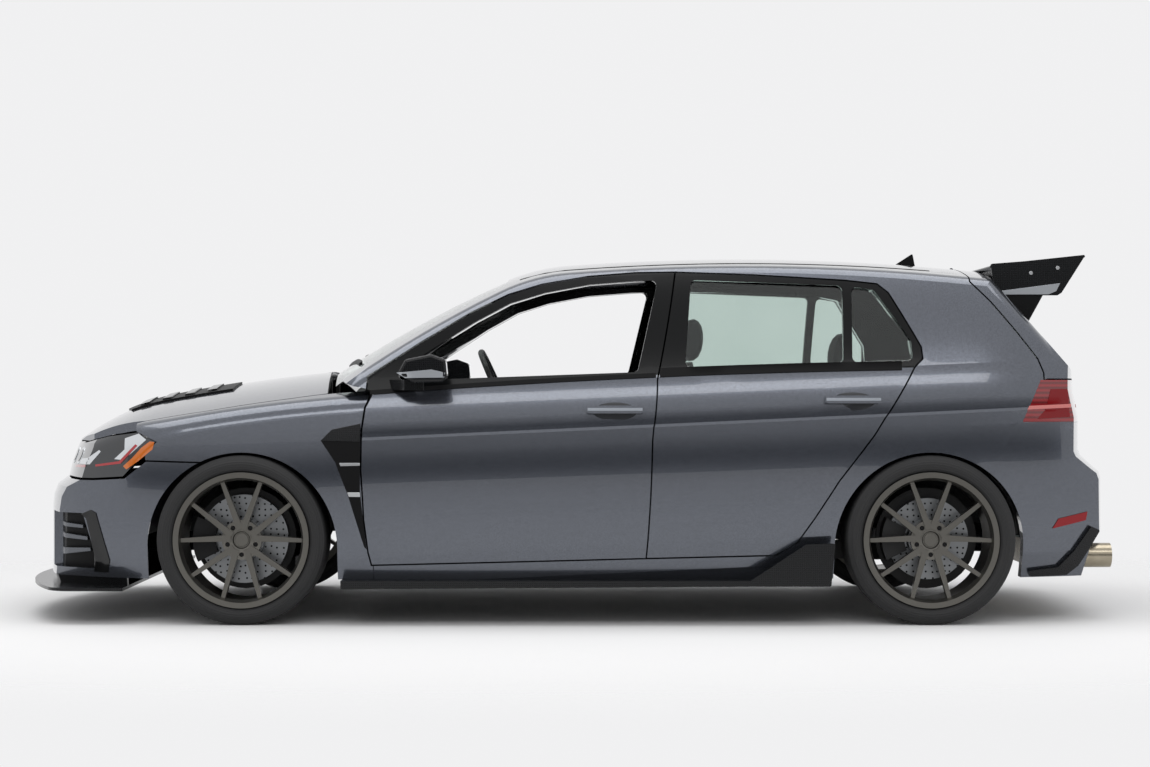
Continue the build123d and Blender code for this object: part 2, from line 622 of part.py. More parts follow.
def rear_wing():
    """Full-width blade on two endplates that stand on the tailgate."""
    plate = across(outline(((-1640, 1392), (-1770, 1402), (-2015, 1428), (-1920, 1278), (-1904, 1268), (-1660, 1268)), 8), 578, 590)
    blade = across(outline(((-1636, 1384), (-1800, 1404), (-2012, 1428), (-2016, 1418), (-1800, 1386), (-1650, 1366)), 4), -579, 579)
    return blade + plate + mirrored(plate) - CAB[0.0]


def mirror_left():
    head = across(outline(((661, 957), (630, 1012), (534, 1032), (480, 1012), (474, 948), (492, 927), (600, 925)), 14), 915, 1010)
    head = head.fillet(12, head.edges().filter_by(lambda e: abs(e.center().Y - 1010) < 1))
    foot = plan_prism(((720, 800), (640, 800), (560, 930), (640, 930)), 896, 936, 6)
    return head + foot - CAB[0.0]


def roof_antenna():
    fin = across(outline(((-1320, 1370), (-1347, 1418), (-1418, 1464), (-1436, 1370)), 4), -12, 12)
    return fin - CAB[0.0]


# Running gear

STRUT_Y = 470.0
STRUT_TOP_Z = 765.0
SPRING_R = 52.0
ARM_Z = 190.0


def knuckle():
    """Hub carrier with the spindle the wheel runs on, the two steering balls and the brake caliper."""
    x, y, z = FRONT_AXLE_X, WHEEL_Y, TYRE_R
    carrier = block((x - 45, x + 45), (STEER_Y - 34, STEER_Y + 4), (z - 118, z + 126))
    carrier += rod((x, STEER_Y, z), (x, y + HUB_FACE - 4, z), SPINDLE_R)
    for low, high in ((ARM_Z - 22, z - 100), (z + 110, z + 166)):
        carrier += rod((x, STEER_Y, low), (x, STEER_Y, high), BALL_R)
    clamp = placed(caliper(DISC_R), x, "left")
    bridge = block((x, x + DISC_R - 20), (STEER_Y - 34, WHEEL_Y - 40), (z - 30, z + 30))
    return carrier + clamp + bridge


def arm(z, inner_y):
    """Flat link from the subframe to a steering ball, bored for the ball's pin."""
    x = FRONT_AXLE_X
    link = plan_prism(((x - 120, inner_y), (x + 120, inner_y), (x + 26, STEER_Y - 60), (x + 26, STEER_Y + 22),
                       (x - 26, STEER_Y + 22), (x - 26, STEER_Y - 60)), z - 12, z + 12)
    return link - rod((x, STEER_Y, z - 40), (x, STEER_Y, z + 40), BALL_R + RUNNING)


def front_suspension():
    """Subframe, lower and upper links and spring struts of both sides."""
    x = FRONT_AXLE_X
    side = arm(ARM_Z, 250) + arm(TYRE_R + 150, WELL_INNER_Y)
    side += rod((x, STRUT_Y, ARM_Z), (x, STRUT_Y, STRUT_TOP_Z), 24)
    side += rod((x, STRUT_Y, 520), (x, STRUT_Y, STRUT_TOP_Z), SPRING_R)
    frame = block((x - 150, x + 150), (-390, 390), (ARM_Z - 25, ARM_Z + 35))
    return frame + side + mirrored(side)


def rear_suspension():
    """Twist beam with its trailing arms, hub carriers, springs and calipers."""
    x, y, z = REAR_AXLE_X, WHEEL_Y, TYRE_R
    beam = block((x + 60, x + 140), (-600, 600), (z - 70, z + 10))
    side = block((x - 60, -975 - SEAT_GAP), (540, 600), (z - 90, z - 20))
    side += block((x - 60, x + 60), (540, y - 60), (z - 70, z + 70))
    side += rod((x, y - 70, z), (x, y + HUB_FACE - 4, z), SPINDLE_R)
    side += placed(caliper(DISC_R - 14), x, "left")
    side += block((x, x + DISC_R - 30), (600, WHEEL_Y - 40), (z - 30, z + 30))
    side += rod((x + 60, 480, z - 60), (x + 60, 480, BOOT_Z[0] - SEAT_GAP), 50) + block((x + 10, x + 140), (420, 560), (z - 85, z - 40))
    return beam + side + mirrored(side)


def exhaust():
    """Silencer across the back with one round tip at each side."""
    box = block((-1960, -1800), (-450, 450), (200, 300))
    for y in (-300, 300):
        box += rod((-1880, y, 250), (-1880, y, BOOT_Z[0] - SEAT_GAP), HANGER_R)
    for sign in (-1, 1):
        y = sign * EXHAUST_Y
        box += rod((-1880, sign * 400, EXHAUST_Z), (-1880, y + sign * 20, EXHAUST_Z), 30)
        tip = rod((-1860, y, EXHAUST_Z), (-2116, y, EXHAUST_Z), EXHAUST_R)
        box += tip - rod((-1990, y, EXHAUST_Z), (-2200, y, EXHAUST_Z), EXHAUST_R - 4)
    return box


# Cabin and floor

SEAT_Y = 365.0
WHEEL_TILT_DEG = 24.0
HELM = (300.0, SEAT_Y, 890.0)
COLUMN_R = 14.0
FLOOR_Z = (185.0, 215.0)
BOOT_Z = (370.0, 395.0)
JACK_X = (651.0, -769.0)
JACK_Y = 600.0
JACK_Z = 165.0
JACK_HALF = 40.0
TUNNEL_Z = 320.0
APRON_TOP_Z = 785.0
COWL_TOP_Z = 812.0


def floor_pan():
    """Floor with its tunnel, bulkhead, boot floor, front aprons with strut towers, and the four arch liners."""
    inner = CAB[RING_DEPTH + SEAT_GAP]
    low, high = FLOOR_Z
    pan = inner & block((-960, 880), WHOLE, (low, high))
    pan += inner & block((-975, -955), WHOLE, (low, BOOT_Z[1]))
    pan += inner & block((-2000, -955), (-REAR_WELL_Y, REAR_WELL_Y), BOOT_Z)
    pan += inner & block((860, 880), WHOLE, (low, APRON_TOP_Z))
    pan += block((-480, 870), (-120, 120), (high, TUNNEL_Z))
    pan += block((1615, 1640), (-WELL_INNER_Y, WELL_INNER_Y), (330, 620))
    apron = block((870, 1640), (WELL_INNER_Y - 26, WELL_INNER_Y), (330, APRON_TOP_Z))
    apron += arch_liner(FRONT_AXLE_X, LOCK_R, WELL_INNER_Y - 10, CLIP[PANEL + SEAT_GAP])
    x = FRONT_AXLE_X
    apron -= rod((x, STRUT_Y, 500), (x, STRUT_Y, 770), SPRING_R + 6)
    apron += block((x - 80, x + 80), (WELL_INNER_Y - 20, STRUT_Y + 60), (STRUT_TOP_Z + SEAT_GAP, STRUT_TOP_Z + 20))
    wall = inner & block((-1790, -960), (REAR_WELL_Y - 22, REAR_WELL_Y), (BOOT_Z[0], 690))
    wall += arch_liner(REAR_AXLE_X, ARCH_R, REAR_WELL_Y - 10, inner)
    for x in JACK_X:
        wall += block((x - JACK_HALF, x + JACK_HALF), (JACK_Y - JACK_HALF, JACK_Y + JACK_HALF), (JACK_Z, low + JACK_HALF / 4))
    return pan + apron + mirrored(apron) + wall + mirrored(wall)


def engine_block():
    """Engine and gearbox as one block, with the mounts that reach the aprons."""
    mass = block((1030, 1580), (-330, 330), (330, 800))
    edge = WELL_INNER_Y - 26 - SEAT_GAP
    return mass + block((1210, 1290), (-edge, edge), (610, 670))


def seat(x, y, width, back_top):
    """Cushion and reclined back with side bolsters, drawn from the side and carried across."""
    cushion = across(outline(((x + 260, 330), (x + 280, 470), (x - 200, 430), (x - 220, 330)), 40), y - width / 2, y + width / 2)
    back = across(outline(((x - 120, 400), (x - 250, 400), (x - 470, back_top), (x - 370, back_top + 20)), 35),
                  y - width / 2, y + width / 2)
    head = across(outline(((x - 355, back_top - 40), (x - 380, back_top + 190), (x - 470, back_top + 180), (x - 455, back_top - 60)),
                          30), y - 130, y + 130)
    base = block((x - 160, x + 220), (y - width / 2 + 40, y + width / 2 - 40), (FLOOR_Z[1] + SEAT_GAP, 380))
    return cushion + back + head + base


def seats():
    front = seat(-60, SEAT_Y, 480, 1010)
    rear = seat(-700, 0, 1000, 960)
    return Compound(children=[*front.solids(), *mirrored(front).solids(), *rear.solids()])


def dashboard():
    """Dash panel with the column the steering wheel turns on and the middle console."""
    panel = across(outline(((855, 600), (855, 905), (700, 930), (560, 900), (540, 760), (640, 620)), 30), -690, 690)
    console = block((-250, 640), (-110, 110), (TUNNEL_Z + SEAT_GAP, 560))
    turn = math.radians(WHEEL_TILT_DEG)
    x, y, z = HELM
    tip = (x - 20 * math.cos(turn), y, z + 20 * math.sin(turn))
    column = rod((640, y, z - (640 - x) * math.tan(turn)), tip, COLUMN_R)
    shroud = rod((640, y, z - (640 - x) * math.tan(turn)), (x + 60, y, z - 60 * math.tan(turn)), 45)
    return (panel + console + column + shroud) & CAB[RING_DEPTH + SEAT_GAP]


def steering_wheel():
    """Rim, three spokes and a hub bored for the column."""
    plane = Plane(origin=HELM, z_dir=(-math.cos(math.radians(WHEEL_TILT_DEG)), 0, math.sin(math.radians(WHEEL_TILT_DEG))))
    wheel = Torus(170, 14) + Cylinder(48, 44)
    for angle in (0, 180, 270):
        wheel += Box(130, 34, 14, align=(Align.MIN, Align.CENTER, Align.CENTER)).moved(Location((40, 0, 0))).rotate(Axis.Z, angle)
    wheel -= Cylinder(COLUMN_R + RUNNING, 200)
    return plane.location * wheel


def cowl():
    """Tray between the bonnet and the windscreen, with the two uprights that carry the bonnet's hinges."""
    tray = block((884, 1012), (-600, 600), (APRON_TOP_Z + SEAT_GAP, COWL_TOP_Z))
    x, z = BONNET_HINGE
    for y in (-BONNET_HINGE_Y, BONNET_HINGE_Y):
        post = block((x - HINGE_EYE_R, x + HINGE_EYE_R), (y - HINGE_HALF, y + HINGE_HALF), (COWL_TOP_Z - 5, z))
        tray += hinge_eye(BONNET_HINGE, y, post)
    return tray


def write(name, shape):
    moved = Compound(children=[s.moved(Location((-ORIGIN_X, 0, 0))) for s in shape.solids()])
    moved.label = name
    export_step(moved, f"parts/{name}.step")


os.makedirs("parts", exist_ok=True)
FRONT_MIRROR = mirror_left()
SIDE = body_side()
FENDER_LEFT = fender()
REAR_GLASS = rear_door_glass()
KNUCKLE = knuckle()
PIECES = {
    "floor_pan": floor_pan(),
    "body_side_left": SIDE,
    "body_side_right": mirrored(SIDE),
    "roof_panel": roof_panel(),
    "fender_left": FENDER_LEFT,
    "fender_right": mirrored(FENDER_LEFT),
    "front_bumper": front_bumper(),
    "rear_bumper": rear_bumper(),
    "bonnet": bonnet(),
    "tailgate": tailgate(),
    "door_front_left": FRONT_DOOR_LEFT,
    "door_front_right": mirrored(FRONT_DOOR_LEFT),
    "door_rear_left": REAR_DOOR_LEFT,
    "door_rear_right": mirrored(REAR_DOOR_LEFT),
    "windscreen": windscreen(),
    "glass_rear_left": REAR_GLASS,
    "glass_rear_right": mirrored(REAR_GLASS),
    "tailgate_glass": tailgate_glass(),
    "headlamps": headlamps(),
    "tail_lamps": tail_lamps(),
    "tailgate_lamps": tailgate_lamps(),
    "front_grille": front_grille(),
    "front_splitter": front_splitter(),
    "side_skirts": both(side_skirt()),
    "rear_spats": both(rear_spat()),
    "rear_wing": rear_wing(),
    "mirror_left": FRONT_MIRROR,
    "mirror_right": mirrored(FRONT_MIRROR),
    "roof_antenna": roof_antenna(),
    "cowl": cowl(),
    "exhaust": exhaust(),
    "seats": seats(),
    "dashboard": dashboard(),
    "steering_wheel": steering_wheel(),
    "engine_block": engine_block(),
    "front_suspension": front_suspension(),
    "rear_suspension": rear_suspension(),
    "knuckle_left": KNUCKLE,
    "knuckle_right": mirrored(KNUCKLE),
}
TYRE = tyre()
RIM = rim()
for end, axle_x, disc_r in (("front", FRONT_AXLE_X, DISC_R), ("rear", REAR_AXLE_X, DISC_R - 14)):
    for side in ("left", "right"):
        PIECES[f"tyre_{end}_{side}"] = placed(TYRE, axle_x, side)
        PIECES[f"rim_{end}_{side}"] = placed(RIM, axle_x, side)
        PIECES[f"disc_{end}_{side}"] = placed(disc(disc_r), axle_x, side)
for name, piece in PIECES.items():
    write(name, piece)
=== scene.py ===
"""Finishes, trim and studio of the five-door hatchback: metres, +X forward, +Y to the car's left, +Z up."""
import math

import bmesh
import bpy
from mathutils import Matrix, Vector
from mathutils.bvhtree import BVHTree


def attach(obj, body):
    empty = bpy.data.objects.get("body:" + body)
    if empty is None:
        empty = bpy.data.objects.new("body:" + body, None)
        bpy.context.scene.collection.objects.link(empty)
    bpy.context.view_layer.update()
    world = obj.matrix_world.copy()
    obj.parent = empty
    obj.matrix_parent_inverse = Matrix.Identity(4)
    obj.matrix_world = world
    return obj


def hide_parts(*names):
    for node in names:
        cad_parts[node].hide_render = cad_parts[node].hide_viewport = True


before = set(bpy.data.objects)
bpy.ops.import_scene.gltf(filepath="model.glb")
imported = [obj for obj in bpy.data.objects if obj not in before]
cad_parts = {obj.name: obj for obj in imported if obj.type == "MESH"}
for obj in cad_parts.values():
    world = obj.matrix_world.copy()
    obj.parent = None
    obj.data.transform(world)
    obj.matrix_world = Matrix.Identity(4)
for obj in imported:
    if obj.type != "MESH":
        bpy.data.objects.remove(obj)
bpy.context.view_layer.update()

# Painted panels: pressed steel and moulded bumpers in one graphite metallic under a clear coat, with
# flakes that glint and a sharp shine on top. Faces that look into the cabin are dark moulded trim,
# and the doors' window frames above the belt line are black. The flakes are drawn 2 mm wide to show.
PAINT_LIGHT = "#62666f"
PAINT_DARK = "#4b4f57"
PIANO_BLACK = "#0b0c0d"
FLAKE_MM = 2.0
BELT_CURVE = (0.937, -0.0549, -0.01546)
INWARD_LIMIT = -0.35
PAINT_METAL = 0.85
PAINT_COAT = 1.0
PAINT_SHEEN = 0.5
TRIM_COAT = 0.05
TRIM_SHEEN = 0.15


def linear(hex_colour):
    """An sRGB hex value as linear red, green, blue and alpha."""
    shares = [int(hex_colour[i:i + 2], 16) / 255 for i in (1, 3, 5)]
    return [c / 12.92 if c <= 0.04045 else ((c + 0.055) / 1.055) ** 2.4 for c in shares] + [1.0]


def add(owner, kind, links, **settings):
    """One node with its settings; links gives each input a value, another node or one of its sockets."""
    node = owner.node_tree.nodes.new(kind)
    for name, value in settings.items():
        setattr(node, name, value)
    for socket, value in links.items():
        if isinstance(value, bpy.types.Node):
            value = value.outputs[0]
        if isinstance(value, bpy.types.NodeSocket):
            owner.node_tree.links.new(value, node.inputs[socket])
        else:
            node.inputs[socket].default_value = value
    return node


def finish(name, **sockets):
    """A material with its values by socket name, its one principled surface, and the place on the piece."""
    material = bpy.data.materials.new(name)
    material.use_nodes = True
    surface = material.node_tree.nodes["Principled BSDF"]
    for socket, value in sockets.items():
        surface.inputs[socket.replace("_", " ")].default_value = value
    return material, surface, add(material, "ShaderNodeTexCoord", {}).outputs["Object"]


def coloured(material, surface, colour):
    """A varying colour on the surface."""
    material.node_tree.links.new(colour, surface.inputs["Base Color"])


def per_mm(size):
    """The texture scale at which features come out at that many millimetres."""
    return 1000.0 / size


def inward(material, spot):
    """1 on faces that look towards the middle of the car, else 0."""
    geometry = add(material, "ShaderNodeNewGeometry", {})
    normal = add(material, "ShaderNodeSeparateXYZ", {"Vector": geometry.outputs["Normal"]})
    parts = add(material, "ShaderNodeSeparateXYZ", {"Vector": spot})
    side = add(material, "ShaderNodeMath", {0: parts.outputs["Y"]}, operation="SIGN")
    facing = add(material, "ShaderNodeMath", {0: side, 1: normal.outputs["Y"]}, operation="MULTIPLY")
    return add(material, "ShaderNodeMath", {0: facing, 1: INWARD_LIMIT}, operation="LESS_THAN")


def above_belt(material, spot):
    """1 above the belt line, which rises towards the rear in a slight curve, else 0."""
    base, slope, bend = BELT_CURVE
    parts = add(material, "ShaderNodeSeparateXYZ", {"Vector": spot})
    x = parts.outputs["X"]
    curve = add(material, "ShaderNodeMath", {0: x, 1: bend, 2: slope}, operation="MULTIPLY_ADD")
    line = add(material, "ShaderNodeMath", {0: curve, 1: x, 2: base}, operation="MULTIPLY_ADD")
    return add(material, "ShaderNodeMath", {0: parts.outputs["Z"], 1: line}, operation="GREATER_THAN")


def frames_and_linings(material, spot):
    """1 on the doors' window frames and inner faces, else 0."""
    masks = {0: inward(material, spot), 1: above_belt(material, spot)}
    return add(material, "ShaderNodeMath", masks, operation="MAXIMUM")


def metallic_paint(name, black_where=None):
    """Flake paint under clear coat, with black trim where the mask is 1."""
    material, surface, spot = finish(name, Metallic=PAINT_METAL, Roughness=0.22, Coat_Weight=PAINT_COAT,
                                     Coat_Roughness=0.02)
    flakes = add(material, "ShaderNodeTexVoronoi", {"Vector": spot, "Scale": per_mm(FLAKE_MM)})
    glint = add(material, "ShaderNodeSeparateColor", {"Color": flakes.outputs["Color"]})
    tones = {"Factor": glint.outputs["Red"], "A": linear(PAINT_LIGHT), "B": linear(PAINT_DARK)}
    colour = add(material, "ShaderNodeMix", tones, data_type="RGBA").outputs["Result"]
    if black_where:
        mask = black_where(material, spot)
        tones = {"Factor": mask, "A": colour, "B": linear(PIANO_BLACK)}
        colour = add(material, "ShaderNodeMix", tones, data_type="RGBA").outputs["Result"]
        levels = (("Metallic", PAINT_METAL, 0.0), ("Coat Weight", PAINT_COAT, TRIM_COAT),
                  ("Specular IOR Level", PAINT_SHEEN, TRIM_SHEEN))
        for socket, painted, trimmed in levels:
            run = {0: mask, 1: trimmed - painted, 2: painted}
            level = add(material, "ShaderNodeMath", run, operation="MULTIPLY_ADD")
            material.node_tree.links.new(level.outputs[0], surface.inputs[socket])
    coloured(material, surface, colour)
    return material


def dress(material, *names):
    """The material on each named CAD piece."""
    for name in names:
        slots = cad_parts[name].data.materials
        slots.clear()
        slots.append(material)


dress(metallic_paint("graphite_metallic_paint"),
      "fender_left", "fender_right", "front_bumper", "rear_bumper", "bonnet", "tailgate")
dress(metallic_paint("graphite_paint_lined_inside", inward),
      "body_side_left", "body_side_right", "roof_panel")
dress(metallic_paint("graphite_paint_black_frames", frames_and_linings),
      "door_front_left", "door_front_right", "door_rear_left", "door_rear_right")

# Underside: floor, subframe, links and springs in a thick satin black coating, sprayed on, which dries
# pebbled and dull. The engine is a sand-cast alloy block with a gritty grey skin, and the knuckles
# are raw cast iron, darker and finer in grain.


def relief(material, surface, spot, size_mm, depth_mm):
    """Moulded, cast or woven surface relief of one grain size."""
    noise = add(material, "ShaderNodeTexNoise", {"Vector": spot, "Scale": per_mm(size_mm), "Detail": 2.0})
    bump = add(material, "ShaderNodeBump", {"Height": noise.outputs["Fac"], "Distance": depth_mm / 1000})
    material.node_tree.links.new(bump.outputs["Normal"], surface.inputs["Normal"])


def grained(name, colour, size_mm, depth_mm, **sockets):
    """A finish of one colour, with relief of one grain size."""
    material, surface, spot = finish(name, Base_Color=linear(colour), **sockets)
    relief(material, surface, spot, size_mm, depth_mm)
    return material


coating = grained("sprayed_underbody_coating", "#151516", 6.0, 0.3, Roughness=0.6)
dress(coating, "floor_pan", "front_suspension", "rear_suspension", "cowl")
dress(grained("sand_cast_alloy", "#8a8a8a", 4.0, 0.3, Metallic=1.0, Roughness=0.5), "engine_block")
dress(grained("black_cast_iron", "#1b1b1c", 3.0, 0.3, Metallic=0.6, Roughness=0.55),
      "knuckle_left", "knuckle_right")

# Glass: a clear laminated windscreen, and green-tinted toughened panes in the rear doors and the
# tailgate. All are bonded or run in black channels. The tint drifts a little, so that a pane doesn't
# look like an even film.
TINT_DRIFT_MM = 300.0


def two_toned(material, surface, share, first, second):
    """The surface in colours between two others, at that share of the second."""
    tones = {"Factor": share, "A": linear(first), "B": linear(second)}
    coloured(material, surface, add(material, "ShaderNodeMix", tones, data_type="RGBA").outputs["Result"])


def window_glass(name, pale, deep):
    """Clear glass whose tint deepens a little from place to place."""
    material, surface, spot = finish(name, Roughness=0.0, Transmission_Weight=1.0, IOR=1.45)
    drift = add(material, "ShaderNodeTexNoise", {"Vector": spot, "Scale": per_mm(TINT_DRIFT_MM),
                                                "Detail": 1.0})
    two_toned(material, surface, drift.outputs["Fac"], pale, deep)
    return material


dress(window_glass("clear_laminated_glass", "#f2f7f5", "#e6eeeb"), "windscreen")
dress(window_glass("green_tinted_glass", "#e2ece8", "#d6e2dd"),
      "glass_rear_left", "glass_rear_right", "tailgate_glass")

# Black mouldings: grille band, intake meshes and antenna, moulded in grained ABS and clipped in. The
# grain keeps them dull and deep. The belt seals, roof strips and wipers further down take the same
# finish.
moulded_black = grained("grained_black_abs", "#0e0e0f", 2.5, 0.1, Roughness=0.45, Specular_IOR_Level=0.12)
dress(moulded_black, "front_grille", "roof_antenna")

# Carbon-fibre pieces: splitter, skirts, spats, wing and mirror caps, woven on the bias and clear
# coated, nearly black with a faint check. The tows are drawn 5 mm wide, coarser than real ones, so
# that the weave shows.
TOW_MM = 5.0
carbon, surface, spot = finish("clear_coated_carbon_twill", Roughness=0.22, Specular_IOR_Level=0.2,
                               Coat_Weight=0.15, Coat_Roughness=0.03)
tilt = add(carbon, "ShaderNodeMapping", {"Vector": spot, "Rotation": (0.0, math.radians(45), 0.0)})
weave = add(carbon, "ShaderNodeTexChecker", {"Vector": tilt, "Scale": per_mm(TOW_MM),
                                            "Color1": linear("#0b0c0d"), "Color2": linear("#191a1c")})
coloured(carbon, surface, weave.outputs["Color"])
dress(carbon, "front_splitter", "side_skirts", "rear_spats", "rear_wing", "mirror_left", "mirror_right")

# Lamps: smoked polycarbonate covers, hard coated and glossy, over the front units. The rear lenses
# are dark red acrylic with ribs moulded across them, which show as lighter bands.
RIB_MM = 60.0
smoked_lens = grained("smoked_polycarbonate", "#1d2024", 30.0, 0.05, Roughness=0.06, Coat_Weight=1.0)
dress(smoked_lens, "headlamps")
red_lens, surface, spot = finish("dark_red_moulded_lens", Roughness=0.08, Coat_Weight=1.0)
ribs = add(red_lens, "ShaderNodeTexWave", {"Vector": spot, "Scale": per_mm(RIB_MM), "Distortion": 0.0},
           bands_direction="Z")
two_toned(red_lens, surface, ribs.outputs["Fac"], "#5e0b10", "#8a1219")
dress(red_lens, "tail_lamps", "tailgate_lamps")

# Exhaust: bent and welded pipes with two rolled tips, in polished stainless steel, hung under the
# floor. Heat has turned it to a straw colour in patches.
HEAT_PATCH_MM = 40.0
straw_steel, surface, spot = finish("heat_tinted_stainless_steel", Metallic=1.0, Roughness=0.22)
heat = add(straw_steel, "ShaderNodeTexNoise", {"Vector": spot, "Scale": per_mm(HEAT_PATCH_MM), "Detail": 2.0})
two_toned(straw_steel, surface, heat.outputs["Fac"], "#b3aa98", "#8f8674")
dress(straw_steel, "exhaust")

# Fender vents: a black moulded scoop behind each front wheel, clipped into the wing along the
# door's edge. A carbon hood closes its top, and two bars of brushed aluminium, the one bright thing
# in it, cross it.
VENT = ((0.931, 0.704), (0.889, 0.746), (0.780, 0.769), (0.781, 0.510), (0.757, 0.289), (0.766, 0.298),
        (0.825, 0.492), (0.875, 0.621))
VENT_HOOD = ((0.931, 0.704), (0.889, 0.746), (0.780, 0.769), (0.781, 0.699))
VENT_BARS = (((0.859, 0.619), (0.781, 0.619), (0.781, 0.609), (0.855, 0.607)),
             ((0.829, 0.507), (0.781, 0.507), (0.779, 0.490), (0.822, 0.490)))
VENT_PROUD = 0.0025
HOOD_PROUD = 0.006
CELL = 0.02
ROOT = 0.002
SKIN_BAND = 0.008
FAR = 3.0
TOWARDS = {"side": Vector((0, -1, 0)), "top": Vector((0, 0, -1)), "front": Vector((-1, 0, 0)),
           "rear": Vector((1, 0, 0))}
SHARP_ANGLE = math.radians(35)
ROUND_ANGLE = math.radians(40)
BOTH_BODY = ("body", "body")


def spot_on(view, a, b):
    """A point far out in that view: side takes (x, z), top (x, y), front and rear (y, z)."""
    if view == "side":
        return Vector((a, FAR, b))
    if view == "top":
        return Vector((a, b, FAR))
    return Vector((FAR if view == "front" else -FAR, a, b))


def skin_of(name):
    """The outside of a CAD piece, to lay trim on."""
    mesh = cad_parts[name].data
    spots = [v.co.copy() for v in mesh.vertices]
    return BVHTree.FromPolygons(spots, [list(face.vertices) for face in mesh.polygons])


def sliced(bm, spot, normal):
    """The mesh with its faces divided along a plane."""
    geometry = bm.verts[:] + bm.edges[:] + bm.faces[:]
    bmesh.ops.bisect_plane(bm, geom=geometry, plane_co=spot, plane_no=normal)


def thickened(bm, offset):
    """The flat mesh made solid: its faces carried along the offset and joined to where they were."""
    grown = bmesh.ops.extrude_face_region(bm, geom=bm.faces[:])
    tops = [e for e in grown["geom"] if isinstance(e, bmesh.types.BMVert)]
    bmesh.ops.translate(bm, vec=offset, verts=tops)
    bmesh.ops.recalc_face_normals(bm, faces=bm.faces)


def laid_on(name, view, outline, proud, cell=CELL, beneath=False):
    """A closed sheet with that outline, laid on the CAD piece as seen from one side and standing proud.
    With beneath, it stays on the skin and passes under whatever stands on that."""
    skin = skin_of(name)
    towards = TOWARDS[view]
    bm = bmesh.new()
    bm.faces.new([bm.verts.new(spot_on(view, a, b)) for a, b in outline])
    for axis in range(3):
        if towards[axis]:
            continue
        low = min(v.co[axis] for v in bm.verts)
        high = max(v.co[axis] for v in bm.verts)
        normal = Vector([1.0 if i == axis else 0.0 for i in range(3)])
        for step in range(1, int((high - low) / cell) + 1):
            sliced(bm, normal * (low + step * cell), normal)
    depths = {vert: skin.ray_cast(vert.co, towards)[3] for vert in bm.verts}
    if beneath:
        deepest = max(depth for depth in depths.values() if depth is not None)
        for vert, depth in depths.items():
            if depth is not None and depth <= deepest - SKIN_BAND:
                depths[vert] = None
    known = [vert for vert in bm.verts if depths[vert] is not None]
    for vert in bm.verts:
        if depths[vert] is None:
            depths[vert] = depths[min(known, key=lambda v: (v.co - vert.co).length)]
    for vert in bm.verts:
        vert.co += towards * (depths[vert] + ROOT)
    thickened(bm, -towards * (proud + ROOT))
    return bm


def flipped(bm):
    """The mirror image across the car."""
    other = bm.copy()
    bmesh.ops.scale(other, vec=(1, -1, 1), verts=other.verts)
    bmesh.ops.recalc_face_normals(other, faces=other.faces)
    return other


def piece(name, bm, material, body, round_mm=0.0):
    """A finished object from the mesh, riding on its body, with its edges rounded."""
    mesh = bpy.data.meshes.new(name)
    bm.to_mesh(mesh)
    bm.free()
    for face in mesh.polygons:
        face.use_smooth = True
    mesh.materials.append(material)
    made = bpy.data.objects.new(name, mesh)
    bpy.context.scene.collection.objects.link(made)
    mesh.set_sharp_from_angle(angle=SHARP_ANGLE)
    if round_mm:
        edge = made.modifiers.new("rounded_edges", "BEVEL")
        edge.width = round_mm / 1000
        edge.segments = 2
        edge.limit_method = "ANGLE"
        edge.angle_limit = ROUND_ANGLE
    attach(made, body)
    return made


def pair(name, bm, material, bodies, round_mm=0.0):
    """The same piece on both sides of the car."""
    other = flipped(bm)
    piece(f"{name}_left", bm, material, bodies[0], round_mm)
    piece(f"{name}_right", other, material, bodies[1], round_mm)


scoop = laid_on("fender_left", "side", VENT, VENT_PROUD)
pair("fender_vent", scoop, moulded_black, BOTH_BODY)
hood = laid_on("fender_left", "side", VENT_HOOD, HOOD_PROUD)
pair("fender_vent_hood", hood, carbon, BOTH_BODY, 1.5)
bright_metal = grained("brushed_aluminium", "#c9cbcd", 2.0, 0.02, Metallic=1.0, Roughness=0.28)
for number, outline in enumerate(VENT_BARS):
    bar = laid_on("fender_left", "side", outline, HOOD_PROUD)
    pair(f"fender_vent_bar_{number}", bar, bright_metal, BOTH_BODY, 1.0)

# Belt seals: black rubber lips along the foot of the side windows, extruded and pressed onto the
# door flanges. Each row gives the door, the two ends, the height and the bodies.
FRONT_DOORS = ("door_fl", "door_fr")
REAR_DOORS = ("door_rl", "door_rr")
SEALS = (("front", 0.745, -0.348, 0.016, FRONT_DOORS), ("rear", -0.362, -1.290, 0.034, REAR_DOORS))
SEAL_FOOT = 0.008
SEAL_STEPS = 6
SEAL_PROUD = 0.004


def belt_height(x):
    """Height of the belt line, as in the paint of the doors."""
    base, slope, bend = BELT_CURVE
    return base + slope * x + bend * x * x


for end, start, stop, height, bodies in SEALS:
    stations = [start + (stop - start) * i / SEAL_STEPS for i in range(SEAL_STEPS + 1)]
    lip = [(x, belt_height(x) - SEAL_FOOT) for x in stations]
    lip += [(x, belt_height(x) - SEAL_FOOT + height) for x in reversed(stations)]
    strip = laid_on(f"door_{end}_left", "side", lip, SEAL_PROUD)
    pair(f"belt_seal_{end}", strip, moulded_black, bodies, 1.5)

